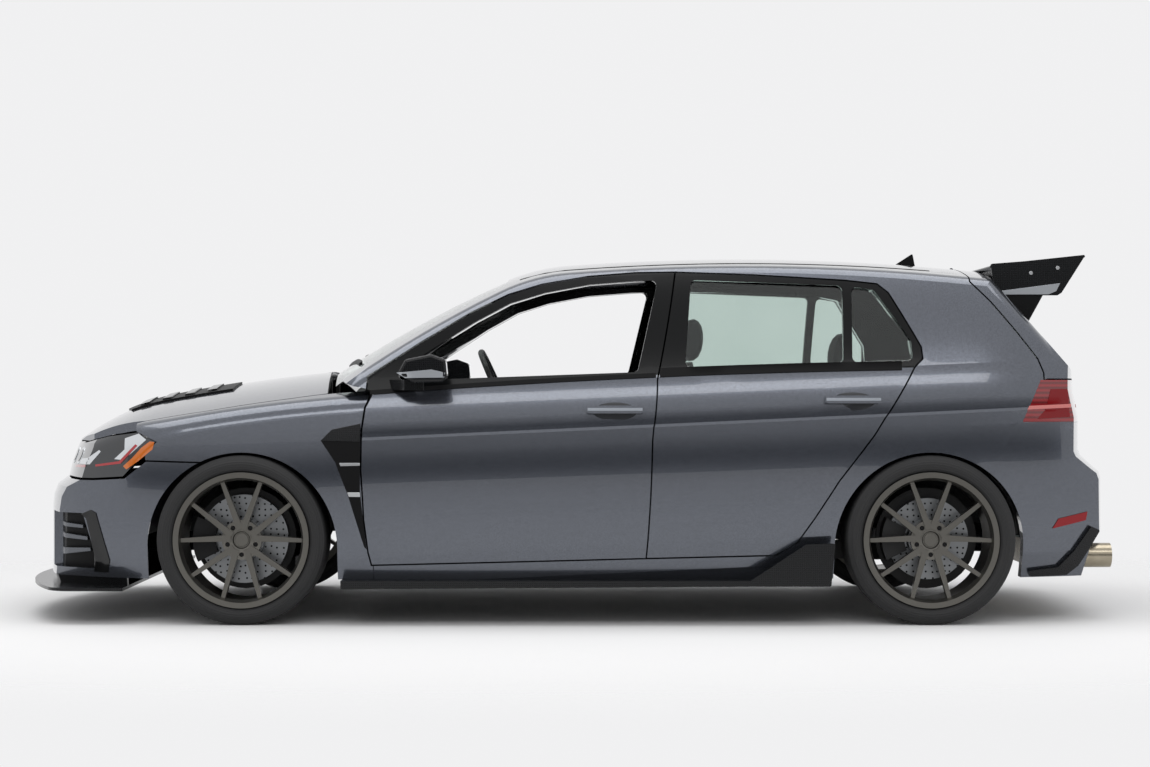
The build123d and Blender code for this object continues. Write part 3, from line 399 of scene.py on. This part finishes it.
# Door handles: the hollow pressed into the door skin behind each grab handle, drawn as a dark patch whose
# colour is painted shade, and a light metallic strip along the top of the grip, a painted highlight.
HANDLES = (("front", (-0.190, 0.815), FRONT_DOORS), ("rear", (-1.097, 0.853), REAR_DOORS))
CUP_HALF = (0.085, 0.035)
CUP_PROUD = 0.0015
STRIP_HALF = 0.104
STRIP_LOW = 0.003
STRIP_HIGH = 0.014
STRIP_PROUD = 0.001
OVAL_POINTS = 20
OVAL_CELL = 0.012
# The cup's dark colour is painted shade: the real hollow is in the body paint.
cup_painted_shade = grained("painted_shade_in_handle_cup", "#26282c", 20.0, 0.02, Metallic=0.4, Roughness=0.4,
                    Coat_Weight=1.0)
# The strip's light colour is a painted highlight along the top of the body-coloured grip.
grip_painted_highlight = grained("painted_highlight_on_grip", "#9da2a9", 20.0, 0.02, Metallic=0.9, Roughness=0.25)


def oval(centre, half):
    """Points of an ellipse."""
    turns = [2 * math.pi * i / OVAL_POINTS for i in range(OVAL_POINTS)]
    return [(centre[0] + half[0] * math.cos(t), centre[1] + half[1] * math.sin(t)) for t in turns]


for end, (x, z), bodies in HANDLES:
    cup = laid_on(f"door_{end}_left", "side", oval((x, z), CUP_HALF), CUP_PROUD, OVAL_CELL, True)
    pair(f"handle_cup_{end}", cup, cup_painted_shade, bodies)
    low, high = z + STRIP_LOW, z + STRIP_HIGH
    rear, front = x - STRIP_HALF, x + STRIP_HALF
    outline = ((rear, low), (front, low), (front, high), (rear, high))
    grip = laid_on(f"door_{end}_left", "side", outline, STRIP_PROUD)
    pair(f"handle_strip_{end}", grip, grip_painted_highlight, bodies)

# Mirrors: a satin silver repeater strip, moulded in ABS, clipped along each shell, and the silvered
# glass that is bonded in behind and reflects like a mirror should.
REPEATER = ((0.632, 0.962), (0.500, 0.974), (0.449, 0.962), (0.453, 0.944), (0.600, 0.942))
MIRROR_GLASS = ((0.930, 0.938), (0.995, 0.940), (0.998, 1.012), (0.930, 1.012))
REPEATER_PROUD = 0.0015
MIRROR_PROUD = 0.001
silver_shell = grained("satin_silver_abs", "#a9adb2", 30.0, 0.02, Metallic=0.6, Roughness=0.3)
repeater = laid_on("mirror_left", "side", REPEATER, REPEATER_PROUD)
pair("mirror_repeater", repeater, silver_shell, FRONT_DOORS, 1.0)
silvered = grained("silvered_mirror_glass", "#e4e7ea", 300.0, 0.01, Metallic=1.0, Roughness=0.02)
mirror = laid_on("mirror_left", "rear", MIRROR_GLASS, MIRROR_PROUD)
pair("mirror_glass", mirror, silvered, FRONT_DOORS)

# Bonnet vents: two raised louvre panels of black ABS, bonded into the bonnet, with four gloss slats
# each, polished in the mould, which catch the light above the dull panel.
LOUVRE = ((1.790, 0.200), (1.330, 0.170), (1.330, 0.430), (1.740, 0.400))
LOUVRE_PROUD = 0.008
SLAT_STATIONS = (1.400, 1.490, 1.580, 1.670)
SLAT = ((0.000, 0.205), (0.040, 0.205), (0.040, 0.390), (0.000, 0.395))
SLAT_PROUD = 0.015
BOTH_BONNET = ("bonnet", "bonnet")
gloss_black = grained("gloss_black_abs", PIANO_BLACK, 60.0, 0.02, Roughness=0.12)
panel = laid_on("bonnet", "top", LOUVRE, LOUVRE_PROUD)
pair("bonnet_vent", panel, moulded_black, BOTH_BONNET, 3.0)
for number, station in enumerate(SLAT_STATIONS):
    outline = [(station + x, y) for x, y in SLAT]
    slat = laid_on("bonnet", "top", outline, SLAT_PROUD)
    pair(f"bonnet_vent_slat_{number}", slat, gloss_black, BOTH_BONNET, 3.0)

# Headlamp units: mirror-bright reflectors in plated chrome, lacquered red accent lines, an amber side
# marker moulded with fine prisms, and two projector lenses a side, all close under the smoked cover.
REFLECTORS = (((1.692, 0.711), (1.636, 0.729), (1.605, 0.706), (1.664, 0.654), (1.701, 0.628), (1.734, 0.631),
               (1.692, 0.668)),
              ((1.893, 0.628), (1.846, 0.634), (1.798, 0.665), (1.791, 0.659), (1.838, 0.609),
               (1.907, 0.609)))
ACCENTS = (((1.930, 0.602), (1.856, 0.608), (1.856, 0.598), (1.930, 0.593)),
           ((1.814, 0.609), (1.714, 0.623), (1.648, 0.689), (1.640, 0.683), (1.707, 0.614), (1.812, 0.601)))
MARKER = ((1.697, 0.604), (1.660, 0.636), (1.623, 0.676), (1.590, 0.700), (1.572, 0.697), (1.580, 0.669),
          (1.632, 0.627), (1.683, 0.592))
PROJECTORS = ((0.500, 0.640), (0.605, 0.640))
BEZEL_HALF = (0.034, 0.034)
EYE_HALF = (0.0238, 0.0238)
EYE_PROUD = 0.004
FINE_CELL = 0.008
LOW_PROUD = 0.002
LENS_PROUD = 0.003
chrome = grained("chromed_reflector", "#d9dcdf", 8.0, 0.05, Metallic=1.0, Roughness=0.12)
accent_red = grained("red_accent_lacquer", "#a3161d", 10.0, 0.02, Roughness=0.2, Coat_Weight=1.0)
amber = grained("amber_moulded_lens", "#c8681c", 6.0, 0.1, Roughness=0.12, Coat_Weight=1.0)
for number, outline in enumerate(REFLECTORS):
    bowl = laid_on("headlamps", "side", outline, LOW_PROUD, FINE_CELL)
    pair(f"headlamp_reflector_{number}", bowl, chrome, BOTH_BODY)
for number, outline in enumerate(ACCENTS):
    line = laid_on("headlamps", "side", outline, LENS_PROUD, FINE_CELL)
    pair(f"headlamp_accent_{number}", line, accent_red, BOTH_BODY)
marker = laid_on("headlamps", "side", MARKER, LENS_PROUD, FINE_CELL)
pair("headlamp_marker", marker, amber, BOTH_BODY)
for number, centre in enumerate(PROJECTORS):
    bezel = laid_on("headlamps", "front", oval(centre, BEZEL_HALF), LOW_PROUD, OVAL_CELL)
    pair(f"headlamp_bezel_{number}", bezel, chrome, BOTH_BODY, 1.0)
    eye = laid_on("headlamps", "front", oval(centre, EYE_HALF), EYE_PROUD, OVAL_CELL)
    pair(f"headlamp_eye_{number}", eye, smoked_lens, BOTH_BODY, 1.0)

# Bumper fittings: a gloss black blade round each side intake and three satin grey slats across it,
# moulded in ABS and clipped in, and red reflectors with fine prisms low on the rear bumper.
BLADE = ((1.873, 0.417), (1.835, 0.433), (1.812, 0.422), (1.758, 0.238), (1.768, 0.191), (1.826, 0.191),
         (1.821, 0.257), (1.854, 0.398))
INTAKE_SLATS = (((1.985, 0.381), (1.874, 0.372), (1.874, 0.360), (1.985, 0.365)),
                ((1.985, 0.339), (1.855, 0.327), (1.855, 0.313), (1.985, 0.320)),
                ((1.985, 0.278), (1.846, 0.284), (1.841, 0.271), (1.985, 0.250)))
REAR_REFLECTOR = ((-1.877, 0.363), (-1.900, 0.401), (-2.020, 0.426), (-2.014, 0.393))
BLADE_PROUD = 0.004
INTAKE_SLAT_PROUD = 0.022
satin_grey = grained("satin_grey_abs", "#5f6268", 20.0, 0.03, Metallic=0.3, Roughness=0.35)
blade = laid_on("front_bumper", "side", BLADE, BLADE_PROUD)
pair("intake_blade", blade, gloss_black, BOTH_BODY, 1.5)
for number, outline in enumerate(INTAKE_SLATS):
    slat = laid_on("front_grille", "side", outline, INTAKE_SLAT_PROUD)
    pair(f"intake_slat_{number}", slat, satin_grey, BOTH_BODY, 2.0)
red_reflector = grained("red_prismatic_reflector", "#8a1a1f", 4.0, 0.1, Roughness=0.12,
                        Specular_IOR_Level=0.3)
reflector = laid_on("rear_bumper", "side", REAR_REFLECTOR, LENS_PROUD, FINE_CELL)
pair("rear_reflector", reflector, red_reflector, BOTH_BODY)

# Tail lamp light guides: a pale frosted bar moulded across each lamp, over a plain field of clear red
# acrylic. The bar goes on across the lamps in the tailgate.
GUIDE = ((-1.779, 0.836), (-1.950, 0.843), (-1.950, 0.829), (-1.773, 0.822))
GLOW = ((-1.867, 0.900), (-1.935, 0.901), (-1.945, 0.792), (-1.812, 0.786), (-1.845, 0.820))
LID_GUIDE = ((0.312, 0.836), (0.520, 0.840), (0.520, 0.826), (0.312, 0.822))
LID_GUIDE_PROUD = 0.0016
BOTH_TAILGATE = ("tailgate", "tailgate")
pale_red = grained("pale_light_guide", "#d07a76", 8.0, 0.05, Roughness=0.15)
bright_red = grained("bright_red_lens", "#780d13", 8.0, 0.08, Roughness=0.1, Specular_IOR_Level=0.35)
field = laid_on("tail_lamps", "side", GLOW, LOW_PROUD, FINE_CELL)
pair("tail_lamp_field", field, bright_red, BOTH_BODY)
guide = laid_on("tail_lamps", "side", GUIDE, LENS_PROUD, FINE_CELL)
pair("tail_lamp_guide", guide, pale_red, BOTH_BODY)
guide = laid_on("tailgate_lamps", "rear", LID_GUIDE, LID_GUIDE_PROUD)
pair("tailgate_lamp_guide", guide, pale_red, BOTH_TAILGATE)

# Wing fittings: two bright bolts and a pale turned-in foot on each endplate, and the gloss black
# uprights that carry the wing on the tailgate's edges.
WING_FOOT = ((-1.700, 1.284), (-1.945, 1.316), (-1.930, 1.285), (-1.900, 1.272), (-1.700, 1.271))
WING_FOOT_PROUD = 0.0015
WING_BOLTS = ((-1.830, 1.356), (-1.935, 1.376))
WING_BOLT_Y = 0.591
WING_BOLT_R = 0.008
WING_BOLT_DEPTH = 0.006
UPRIGHT = ((-1.650, 1.275), (-1.885, 1.275), (-1.800, 1.120), (-1.730, 1.180))
UPRIGHT_IN = 0.540
UPRIGHT_OUT = 0.572
HEAD_TAPER = 0.9
ROUND_SIDES = 20


def prism(outline, low_y, high_y):
    """A side outline (x, z) carried across the car."""
    bm = bmesh.new()
    bm.faces.new([bm.verts.new((x, low_y, z)) for x, z in outline])
    thickened(bm, (0, high_y - low_y, 0))
    return bm


def button(spot, radius, depth, sides=ROUND_SIDES):
    """A round or hexagonal head that faces outboard, seated at the spot."""
    bm = bmesh.new()
    turn = Matrix.Rotation(math.radians(-90), 4, "X")
    bmesh.ops.create_cone(bm, cap_ends=True, segments=sides, radius1=radius, radius2=radius * HEAD_TAPER,
                          depth=depth, matrix=Matrix.Translation(spot) @ turn)
    bmesh.ops.recalc_face_normals(bm, faces=bm.faces)
    return bm


foot = laid_on("rear_wing", "side", WING_FOOT, WING_FOOT_PROUD)
pair("wing_foot", foot, silver_shell, BOTH_TAILGATE, 0.8)
for number, (x, z) in enumerate(WING_BOLTS):
    head = button(Vector((x, WING_BOLT_Y, z)), WING_BOLT_R, WING_BOLT_DEPTH)
    pair(f"wing_bolt_{number}", head, bright_metal, BOTH_TAILGATE, 0.8)
upright = prism(UPRIGHT, UPRIGHT_IN, UPRIGHT_OUT)
pair("wing_upright", upright, gloss_black, BOTH_TAILGATE, 3.0)

# Roof strips and wipers: black strips pressed into the welded roof seams, and two wiper arms that
# lie on the foot of the windscreen.
ROOF_STRIP = ((0.180, 0.522), (0.180, 0.534), (-1.440, 0.534), (-1.440, 0.522))
ROOF_STRIP_PROUD = 0.0015
ROOF_CELL = 0.08
WIPERS = (("left", ((0.905, 0.020), (0.893, 0.010), (0.800, 0.560), (0.812, 0.570))),
          ("right", ((0.900, -0.560), (0.888, -0.570), (0.830, -0.040), (0.842, -0.030))))
WIPER_PROUD = 0.012
seam = laid_on("roof_panel", "top", ROOF_STRIP, ROOF_STRIP_PROUD, ROOF_CELL)
pair("roof_strip", seam, moulded_black, BOTH_BODY)
for side, outline in WIPERS:
    arm = laid_on("windscreen", "top", outline, WIPER_PROUD)
    piece(f"wiper_{side}", arm, moulded_black, "body", 2.0)

# Wheels: forged alloy rims in satin gunmetal, ground iron discs, drilled, before black shields, and
# dull black tyres with moulded rings and grooves. Hexagon bolts in black oxide sit in the five seats
# and a blank cap is pressed into the hub. The holes are drawn 24 mm apart so that they show.
AXLES = {"front": 1.235, "rear": -1.396}
CARRIERS = {"front": ("knuckle_l", "knuckle_r"), "rear": BOTH_BODY}
WHEEL_Y = 0.767
WHEEL_Z = 0.324
HUB_OUT = 0.080
BOLT_CIRCLE_R = 0.056
BOLT_COUNT = 5
HEX_SIDES = 6
BOLT_R = 0.0085
BOLT_DEPTH = 0.012
CAP_R = 0.028
CAP_DEPTH = 0.014
SHIELD_R = 0.195
SHIELD_IN = 0.036
SHIELD_DEPTH = 0.003
SMOOTH_SIDES = 40
HOLE_SPACING_MM = 24.0
HOLE_SCATTER = 0.35
HOLE_SHARE = 0.16
TREAD_R = 0.3195
RING_MM = 9.0
RING_DEPTH_MM = 0.4
GROOVE_MM = 38.0
GROOVE_SHARE = 0.75
GROOVE_DEPTH = 6.0
gunmetal = grained("satin_gunmetal_alloy", "#6a6863", 3.0, 0.02, Metallic=0.9, Roughness=0.33)
bolt_steel = grained("black_oxide_steel", "#1c1c1d", 2.0, 0.03, Metallic=0.8, Roughness=0.4)


def side_on(material, spot):
    """A place as seen from the side, laid flat."""
    parts = add(material, "ShaderNodeSeparateXYZ", {"Vector": spot})
    return add(material, "ShaderNodeCombineXYZ", {"X": parts.outputs["X"], "Y": parts.outputs["Z"]})


drilled_iron, surface, spot = finish("drilled_disc_iron", Metallic=1.0, Roughness=0.35)
grid = add(drilled_iron, "ShaderNodeTexVoronoi", {"Vector": side_on(drilled_iron, spot),
                                                 "Scale": per_mm(HOLE_SPACING_MM),
                                                 "Randomness": HOLE_SCATTER}, voronoi_dimensions="2D")
hole = add(drilled_iron, "ShaderNodeMath", {0: grid.outputs["Distance"], 1: HOLE_SHARE},
           operation="LESS_THAN")
two_toned(drilled_iron, surface, hole, "#86888a", "#1a1a1b")


def ripple(material, distance, size_mm):
    """A wave that repeats at that many millimetres."""
    turns = {0: distance, 1: 2 * math.pi * per_mm(size_mm)}
    phase = add(material, "ShaderNodeMath", turns, operation="MULTIPLY")
    return add(material, "ShaderNodeMath", {0: phase}, operation="SINE")


def tyre_rubber(end):
    """Black rubber with rings moulded in the side walls and grooves round the tread."""
    material, surface, spot = finish(f"moulded_tyre_rubber_{end}", Base_Color=linear("#1b1b1c"),
                                     Roughness=0.7)
    centre = (-AXLES[end], 0.0, -WHEEL_Z)
    hub = add(material, "ShaderNodeMapping", {"Vector": spot, "Location": centre})
    out = add(material, "ShaderNodeVectorMath", {0: side_on(material, hub)}, operation="LENGTH")
    radius = out.outputs["Value"]
    across = add(material, "ShaderNodeSeparateXYZ", {"Vector": hub})
    wave = ripple(material, across.outputs["Y"], GROOVE_MM)
    low = add(material, "ShaderNodeMath", {0: wave, 1: GROOVE_SHARE}, operation="GREATER_THAN")
    on_tread = add(material, "ShaderNodeMath", {0: radius, 1: TREAD_R}, operation="GREATER_THAN")
    groove = add(material, "ShaderNodeMath", {0: low, 1: on_tread}, operation="MULTIPLY")
    levels = {0: groove, 1: -GROOVE_DEPTH, 2: ripple(material, radius, RING_MM)}
    height = add(material, "ShaderNodeMath", levels, operation="MULTIPLY_ADD")
    bump = add(material, "ShaderNodeBump", {"Height": height, "Distance": RING_DEPTH_MM / 1000})
    material.node_tree.links.new(bump.outputs["Normal"], surface.inputs["Normal"])
    return material


def wheel_head(end, angle, reach, radius, depth, sides):
    """A bolt head or cap on the left wheel of an axle."""
    x = AXLES[end] + reach * math.sin(angle)
    z = WHEEL_Z - reach * math.cos(angle)
    return button(Vector((x, WHEEL_Y + HUB_OUT, z)), radius, depth, sides)


for end, x in AXLES.items():
    shield = button(Vector((x, WHEEL_Y - SHIELD_IN, WHEEL_Z)), SHIELD_R, SHIELD_DEPTH, SMOOTH_SIDES)
    pair(f"brake_shield_{end}", shield, coating, CARRIERS[end])
    bodies = (f"wheel_{end[0]}l", f"wheel_{end[0]}r")
    rubber = tyre_rubber(end)
    for side in ("left", "right"):
        dress(gunmetal, f"rim_{end}_{side}")
        dress(drilled_iron, f"disc_{end}_{side}")
        dress(rubber, f"tyre_{end}_{side}")
    for number in range(BOLT_COUNT):
        turn = 2 * math.pi * number / BOLT_COUNT
        head = wheel_head(end, turn, BOLT_CIRCLE_R, BOLT_R, BOLT_DEPTH, HEX_SIDES)
        pair(f"wheel_bolt_{end}_{number}", head, bolt_steel, bodies, 0.6)
    cap = wheel_head(end, 0.0, 0.0, CAP_R, CAP_DEPTH, SMOOTH_SIDES)
    pair(f"wheel_cap_{end}", cap, gunmetal, bodies, 1.5)

# Seats: foam pads under dark woven cloth, dull with a soft edge light, on coated steel pans. Each is a
# crowned cushion, a reclined back and a head rest; the rear bench has the same parts in one width.
# The weave is drawn as 6 mm checks so that it shows.
SEAT_X = {"front": 0.0, "rear": -0.640}
SEAT_BACK_TOP = {"front": 1.010, "rear": 0.960}
SEAT_ROWS = (("front_left", "front", 0.365, 0.480), ("front_right", "front", -0.365, 0.480),
             ("rear", "rear", 0.0, 1.000))
CUSHION = ((0.160, 0.345), (0.175, 0.440), (0.020, 0.430), (-0.270, 0.405), (-0.290, 0.345))
BACK_FOOT = ((-0.170, 0.430), (-0.230, 0.420), (-0.320, 0.420))
BACK_TOP = ((-0.545, 0.000), (-0.475, 0.010))
BACK_FRONT = ((-0.330, 0.720),)
HEAD_REST = ((-0.455, 0.010), (-0.480, 0.170), (-0.550, 0.160), (-0.540, 0.000))
PAN = ((0.140, 0.220), (0.140, 0.340), (-0.260, 0.340), (-0.260, 0.220))
PAD_INSET = 0.010
PAN_INSET = 0.050
HEAD_HALF = 0.125
CROWN = 0.018
SLICES = 6
SMOOTHING = 2
CHECK_MM = 6.0
woven, surface, spot = finish("dark_woven_seat_cloth", Roughness=0.85, Sheen_Weight=0.4)
warp = add(woven, "ShaderNodeTexChecker", {"Vector": spot, "Scale": per_mm(CHECK_MM),
                                          "Color1": linear("#17181a"), "Color2": linear("#232528")})
coloured(woven, surface, warp.outputs["Color"])
relief(woven, surface, spot, size_mm=4.0, depth_mm=0.3)
dress(woven, "seats")


def shifted(outline, by_x, by_z=0.0):
    """A side outline (x, z) at a seat's own place; what is drawn from the top of the back also rises."""
    return [(by_x + x, by_z + z) for x, z in outline]


def padded_form(outline, low_y, high_y):
    """A crowned foam pad: the side outline carried across, sliced, and swollen between its ends."""
    bm = prism(outline, low_y, high_y)
    for number in range(1, SLICES):
        sliced(bm, (0, low_y + (high_y - low_y) * number / SLICES, 0), (0, 1, 0))
    bm.normal_update()
    middle, half = (low_y + high_y) / 2, (high_y - low_y) / 2
    for vert in bm.verts:
        swell = CROWN * (1 - ((vert.co.y - middle) / half) ** 2)
        vert.co += vert.normal * swell
    return bm


def softened(made):
    """Two levels of smoothing, as foam rounds the cloth."""
    rounding = made.modifiers.new("foam_rounding", "SUBSURF")
    rounding.levels = SMOOTHING
    rounding.render_levels = SMOOTHING


for name, row, y, width in SEAT_ROWS:
    x0, top = SEAT_X[row], SEAT_BACK_TOP[row]
    low, high = y - width / 2, y + width / 2
    cushion = shifted(CUSHION, x0)
    back = shifted(BACK_FOOT, x0) + shifted(BACK_TOP, x0, top) + shifted(BACK_FRONT, x0)
    head = shifted(HEAD_REST, x0, top)
    pads = {"cushion": (cushion, low + PAD_INSET, high - PAD_INSET),
            "back": (back, low + PAD_INSET, high - PAD_INSET),
            "head": (head, y - HEAD_HALF, y + HEAD_HALF)}
    for part, (outline, low_y, high_y) in pads.items():
        pad = padded_form(outline, low_y, high_y)
        softened(piece(f"seat_{name}_{part}", pad, woven, "body"))
    pan = prism(shifted(PAN, x0), low + PAN_INSET, high - PAN_INSET)
    piece(f"seat_{name}_pan", pan, coating, "body", 6.0)
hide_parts("seats")

# Dash and steering wheel: a soft-touch skin moulded over the dash, dull and finely grained, and a rim
# sewn into smooth black leather, which shines a little more.
dress(grained("soft_touch_dash_skin", "#17181a", 2.5, 0.15, Roughness=0.65), "dashboard")
dress(grained("black_smooth_leather", "#131313", 2.0, 0.1, Roughness=0.45), "steering_wheel")

# Studio: a pale floor that keeps the shadow and fades into a white room, two broad lights overhead,
# and a flag behind the camera, seen in reflections only, that draws the dark band along the doors.
# Each light has its place, its turn in degrees, its size and its watts.
FLOOR_HALF = 8.0
FADE_STRETCH = 1.6
FADE_FROM = 1.3
FADE_TO = 3.6
FLAG_Y = 12.5
FLAG_TOP = 3.2
FLAG_DARK = 0.9
FLAG_FADE = 2.4
FLAG_HALF = 14.0
ROOM_LIGHT = 0.75
BACKDROP = 0.94
LIGHTS = (("overhead_softbox", (0.0, 0.5, 5.0), (0.0, 0.0, 0.0), (8.0, 3.0), 150.0),
          ("near_softbox", (0.0, 7.0, 5.5), (-50.0, 0.0, 0.0), (9.0, 1.6), 120.0))


def stage(name, corners, material):
    """One flat sheet of the studio."""
    bm = bmesh.new()
    bm.faces.new([bm.verts.new(corner) for corner in corners])
    mesh = bpy.data.meshes.new(name)
    bm.to_mesh(mesh)
    bm.free()
    mesh.materials.append(material)
    sheet = bpy.data.objects.new(name, mesh)
    bpy.context.scene.collection.objects.link(sheet)
    return sheet


floor_paint, surface, spot = finish("pale_studio_floor", Base_Color=linear("#f0f0f0"), Roughness=0.8)
relief(floor_paint, surface, spot, size_mm=200.0, depth_mm=0.05)
spread = add(floor_paint, "ShaderNodeVectorMath", {0: spot, 1: (1.0 / FADE_STRETCH, 1.0, 0.0)},
             operation="MULTIPLY")
away = add(floor_paint, "ShaderNodeVectorMath", {0: spread}, operation="LENGTH")
fade = add(floor_paint, "ShaderNodeMapRange", {"Value": away.outputs["Value"], "From Min": FADE_FROM,
                                              "From Max": FADE_TO}, interpolation_type="SMOOTHSTEP")
open_air = add(floor_paint, "ShaderNodeBsdfTransparent", {})
blend = add(floor_paint, "ShaderNodeMixShader", {0: fade, 1: surface, 2: open_air})
end_node = floor_paint.node_tree.nodes["Material Output"]
floor_paint.node_tree.links.new(blend.outputs[0], end_node.inputs["Surface"])
floor_corners = [(x * FLOOR_HALF, y * FLOOR_HALF, 0.0) for x, y in ((-1, -1), (1, -1), (1, 1), (-1, 1))]
stage("studio_floor", floor_corners, floor_paint)

flag_cloth, surface, spot = finish("graded_flag_cloth", Roughness=0.95, Specular_IOR_Level=0.0)
relief(flag_cloth, surface, spot, size_mm=20.0, depth_mm=0.1)
parts = add(flag_cloth, "ShaderNodeSeparateXYZ", {"Vector": spot})
rise = add(flag_cloth, "ShaderNodeMath", {0: parts.outputs["Z"], 1: FLAG_DARK}, operation="SUBTRACT")
apart = add(flag_cloth, "ShaderNodeMath", {0: rise}, operation="ABSOLUTE")
shade = add(flag_cloth, "ShaderNodeMapRange", {"Value": apart, "From Max": FLAG_FADE},
            interpolation_type="SMOOTHSTEP")
two_toned(flag_cloth, surface, shade, "#101112", "#f4f4f4")
flag_corners = [(x * FLAG_HALF, FLAG_Y, z * FLAG_TOP) for x, z in ((-1, 0), (1, 0), (1, 1), (-1, 1))]
flag = stage("studio_flag", flag_corners, flag_cloth)
flag.visible_camera = False
flag.visible_shadow = False
flag.visible_diffuse = False
flag.visible_transmission = False

world = bpy.data.worlds.new("studio_room")
bpy.context.scene.world = world
world.use_nodes = True
rays = add(world, "ShaderNodeLightPath", {}).outputs
clear = add(world, "ShaderNodeMath", {0: rays["Is Glossy Ray"], 1: rays["Is Transmission Ray"]},
            operation="MAXIMUM")
seen = add(world, "ShaderNodeMath", {0: rays["Is Camera Ray"], 1: clear}, operation="MAXIMUM")
strength = add(world, "ShaderNodeMath", {0: seen, 1: BACKDROP - ROOM_LIGHT, 2: ROOM_LIGHT},
               operation="MULTIPLY_ADD")
air = world.node_tree.nodes["Background"]
air.inputs["Color"].default_value = linear("#f7f7f8")
world.node_tree.links.new(strength.outputs[0], air.inputs["Strength"])

for name, spot, turn, size, power in LIGHTS:
    lamp = bpy.data.lights.new(name, "AREA")
    lamp.shape = "RECTANGLE"
    lamp.size, lamp.size_y = size
    lamp.energy = power
    holder = bpy.data.objects.new(name, lamp)
    holder.location = spot
    holder.rotation_euler = [math.radians(angle) for angle in turn]
    bpy.context.scene.collection.objects.link(holder)

# Camera: level with the foot of the side windows and square to the car's left side, far enough off for
# little perspective.
CAMERA_SPOT = (-0.038, 9.695, 0.9215)
FOCAL_MM = 72.5
SENSOR_MM = 36.0
lens = bpy.data.cameras.new("camera")
lens.lens = FOCAL_MM
lens.sensor_width = SENSOR_MM
camera = bpy.data.objects.new("camera", lens)
camera.location = CAMERA_SPOT
camera.rotation_euler = (math.radians(90), 0.0, math.radians(180))
bpy.context.scene.collection.objects.link(camera)
bpy.context.scene.camera = camera
bpy.context.scene.view_settings.view_transform = "Standard"
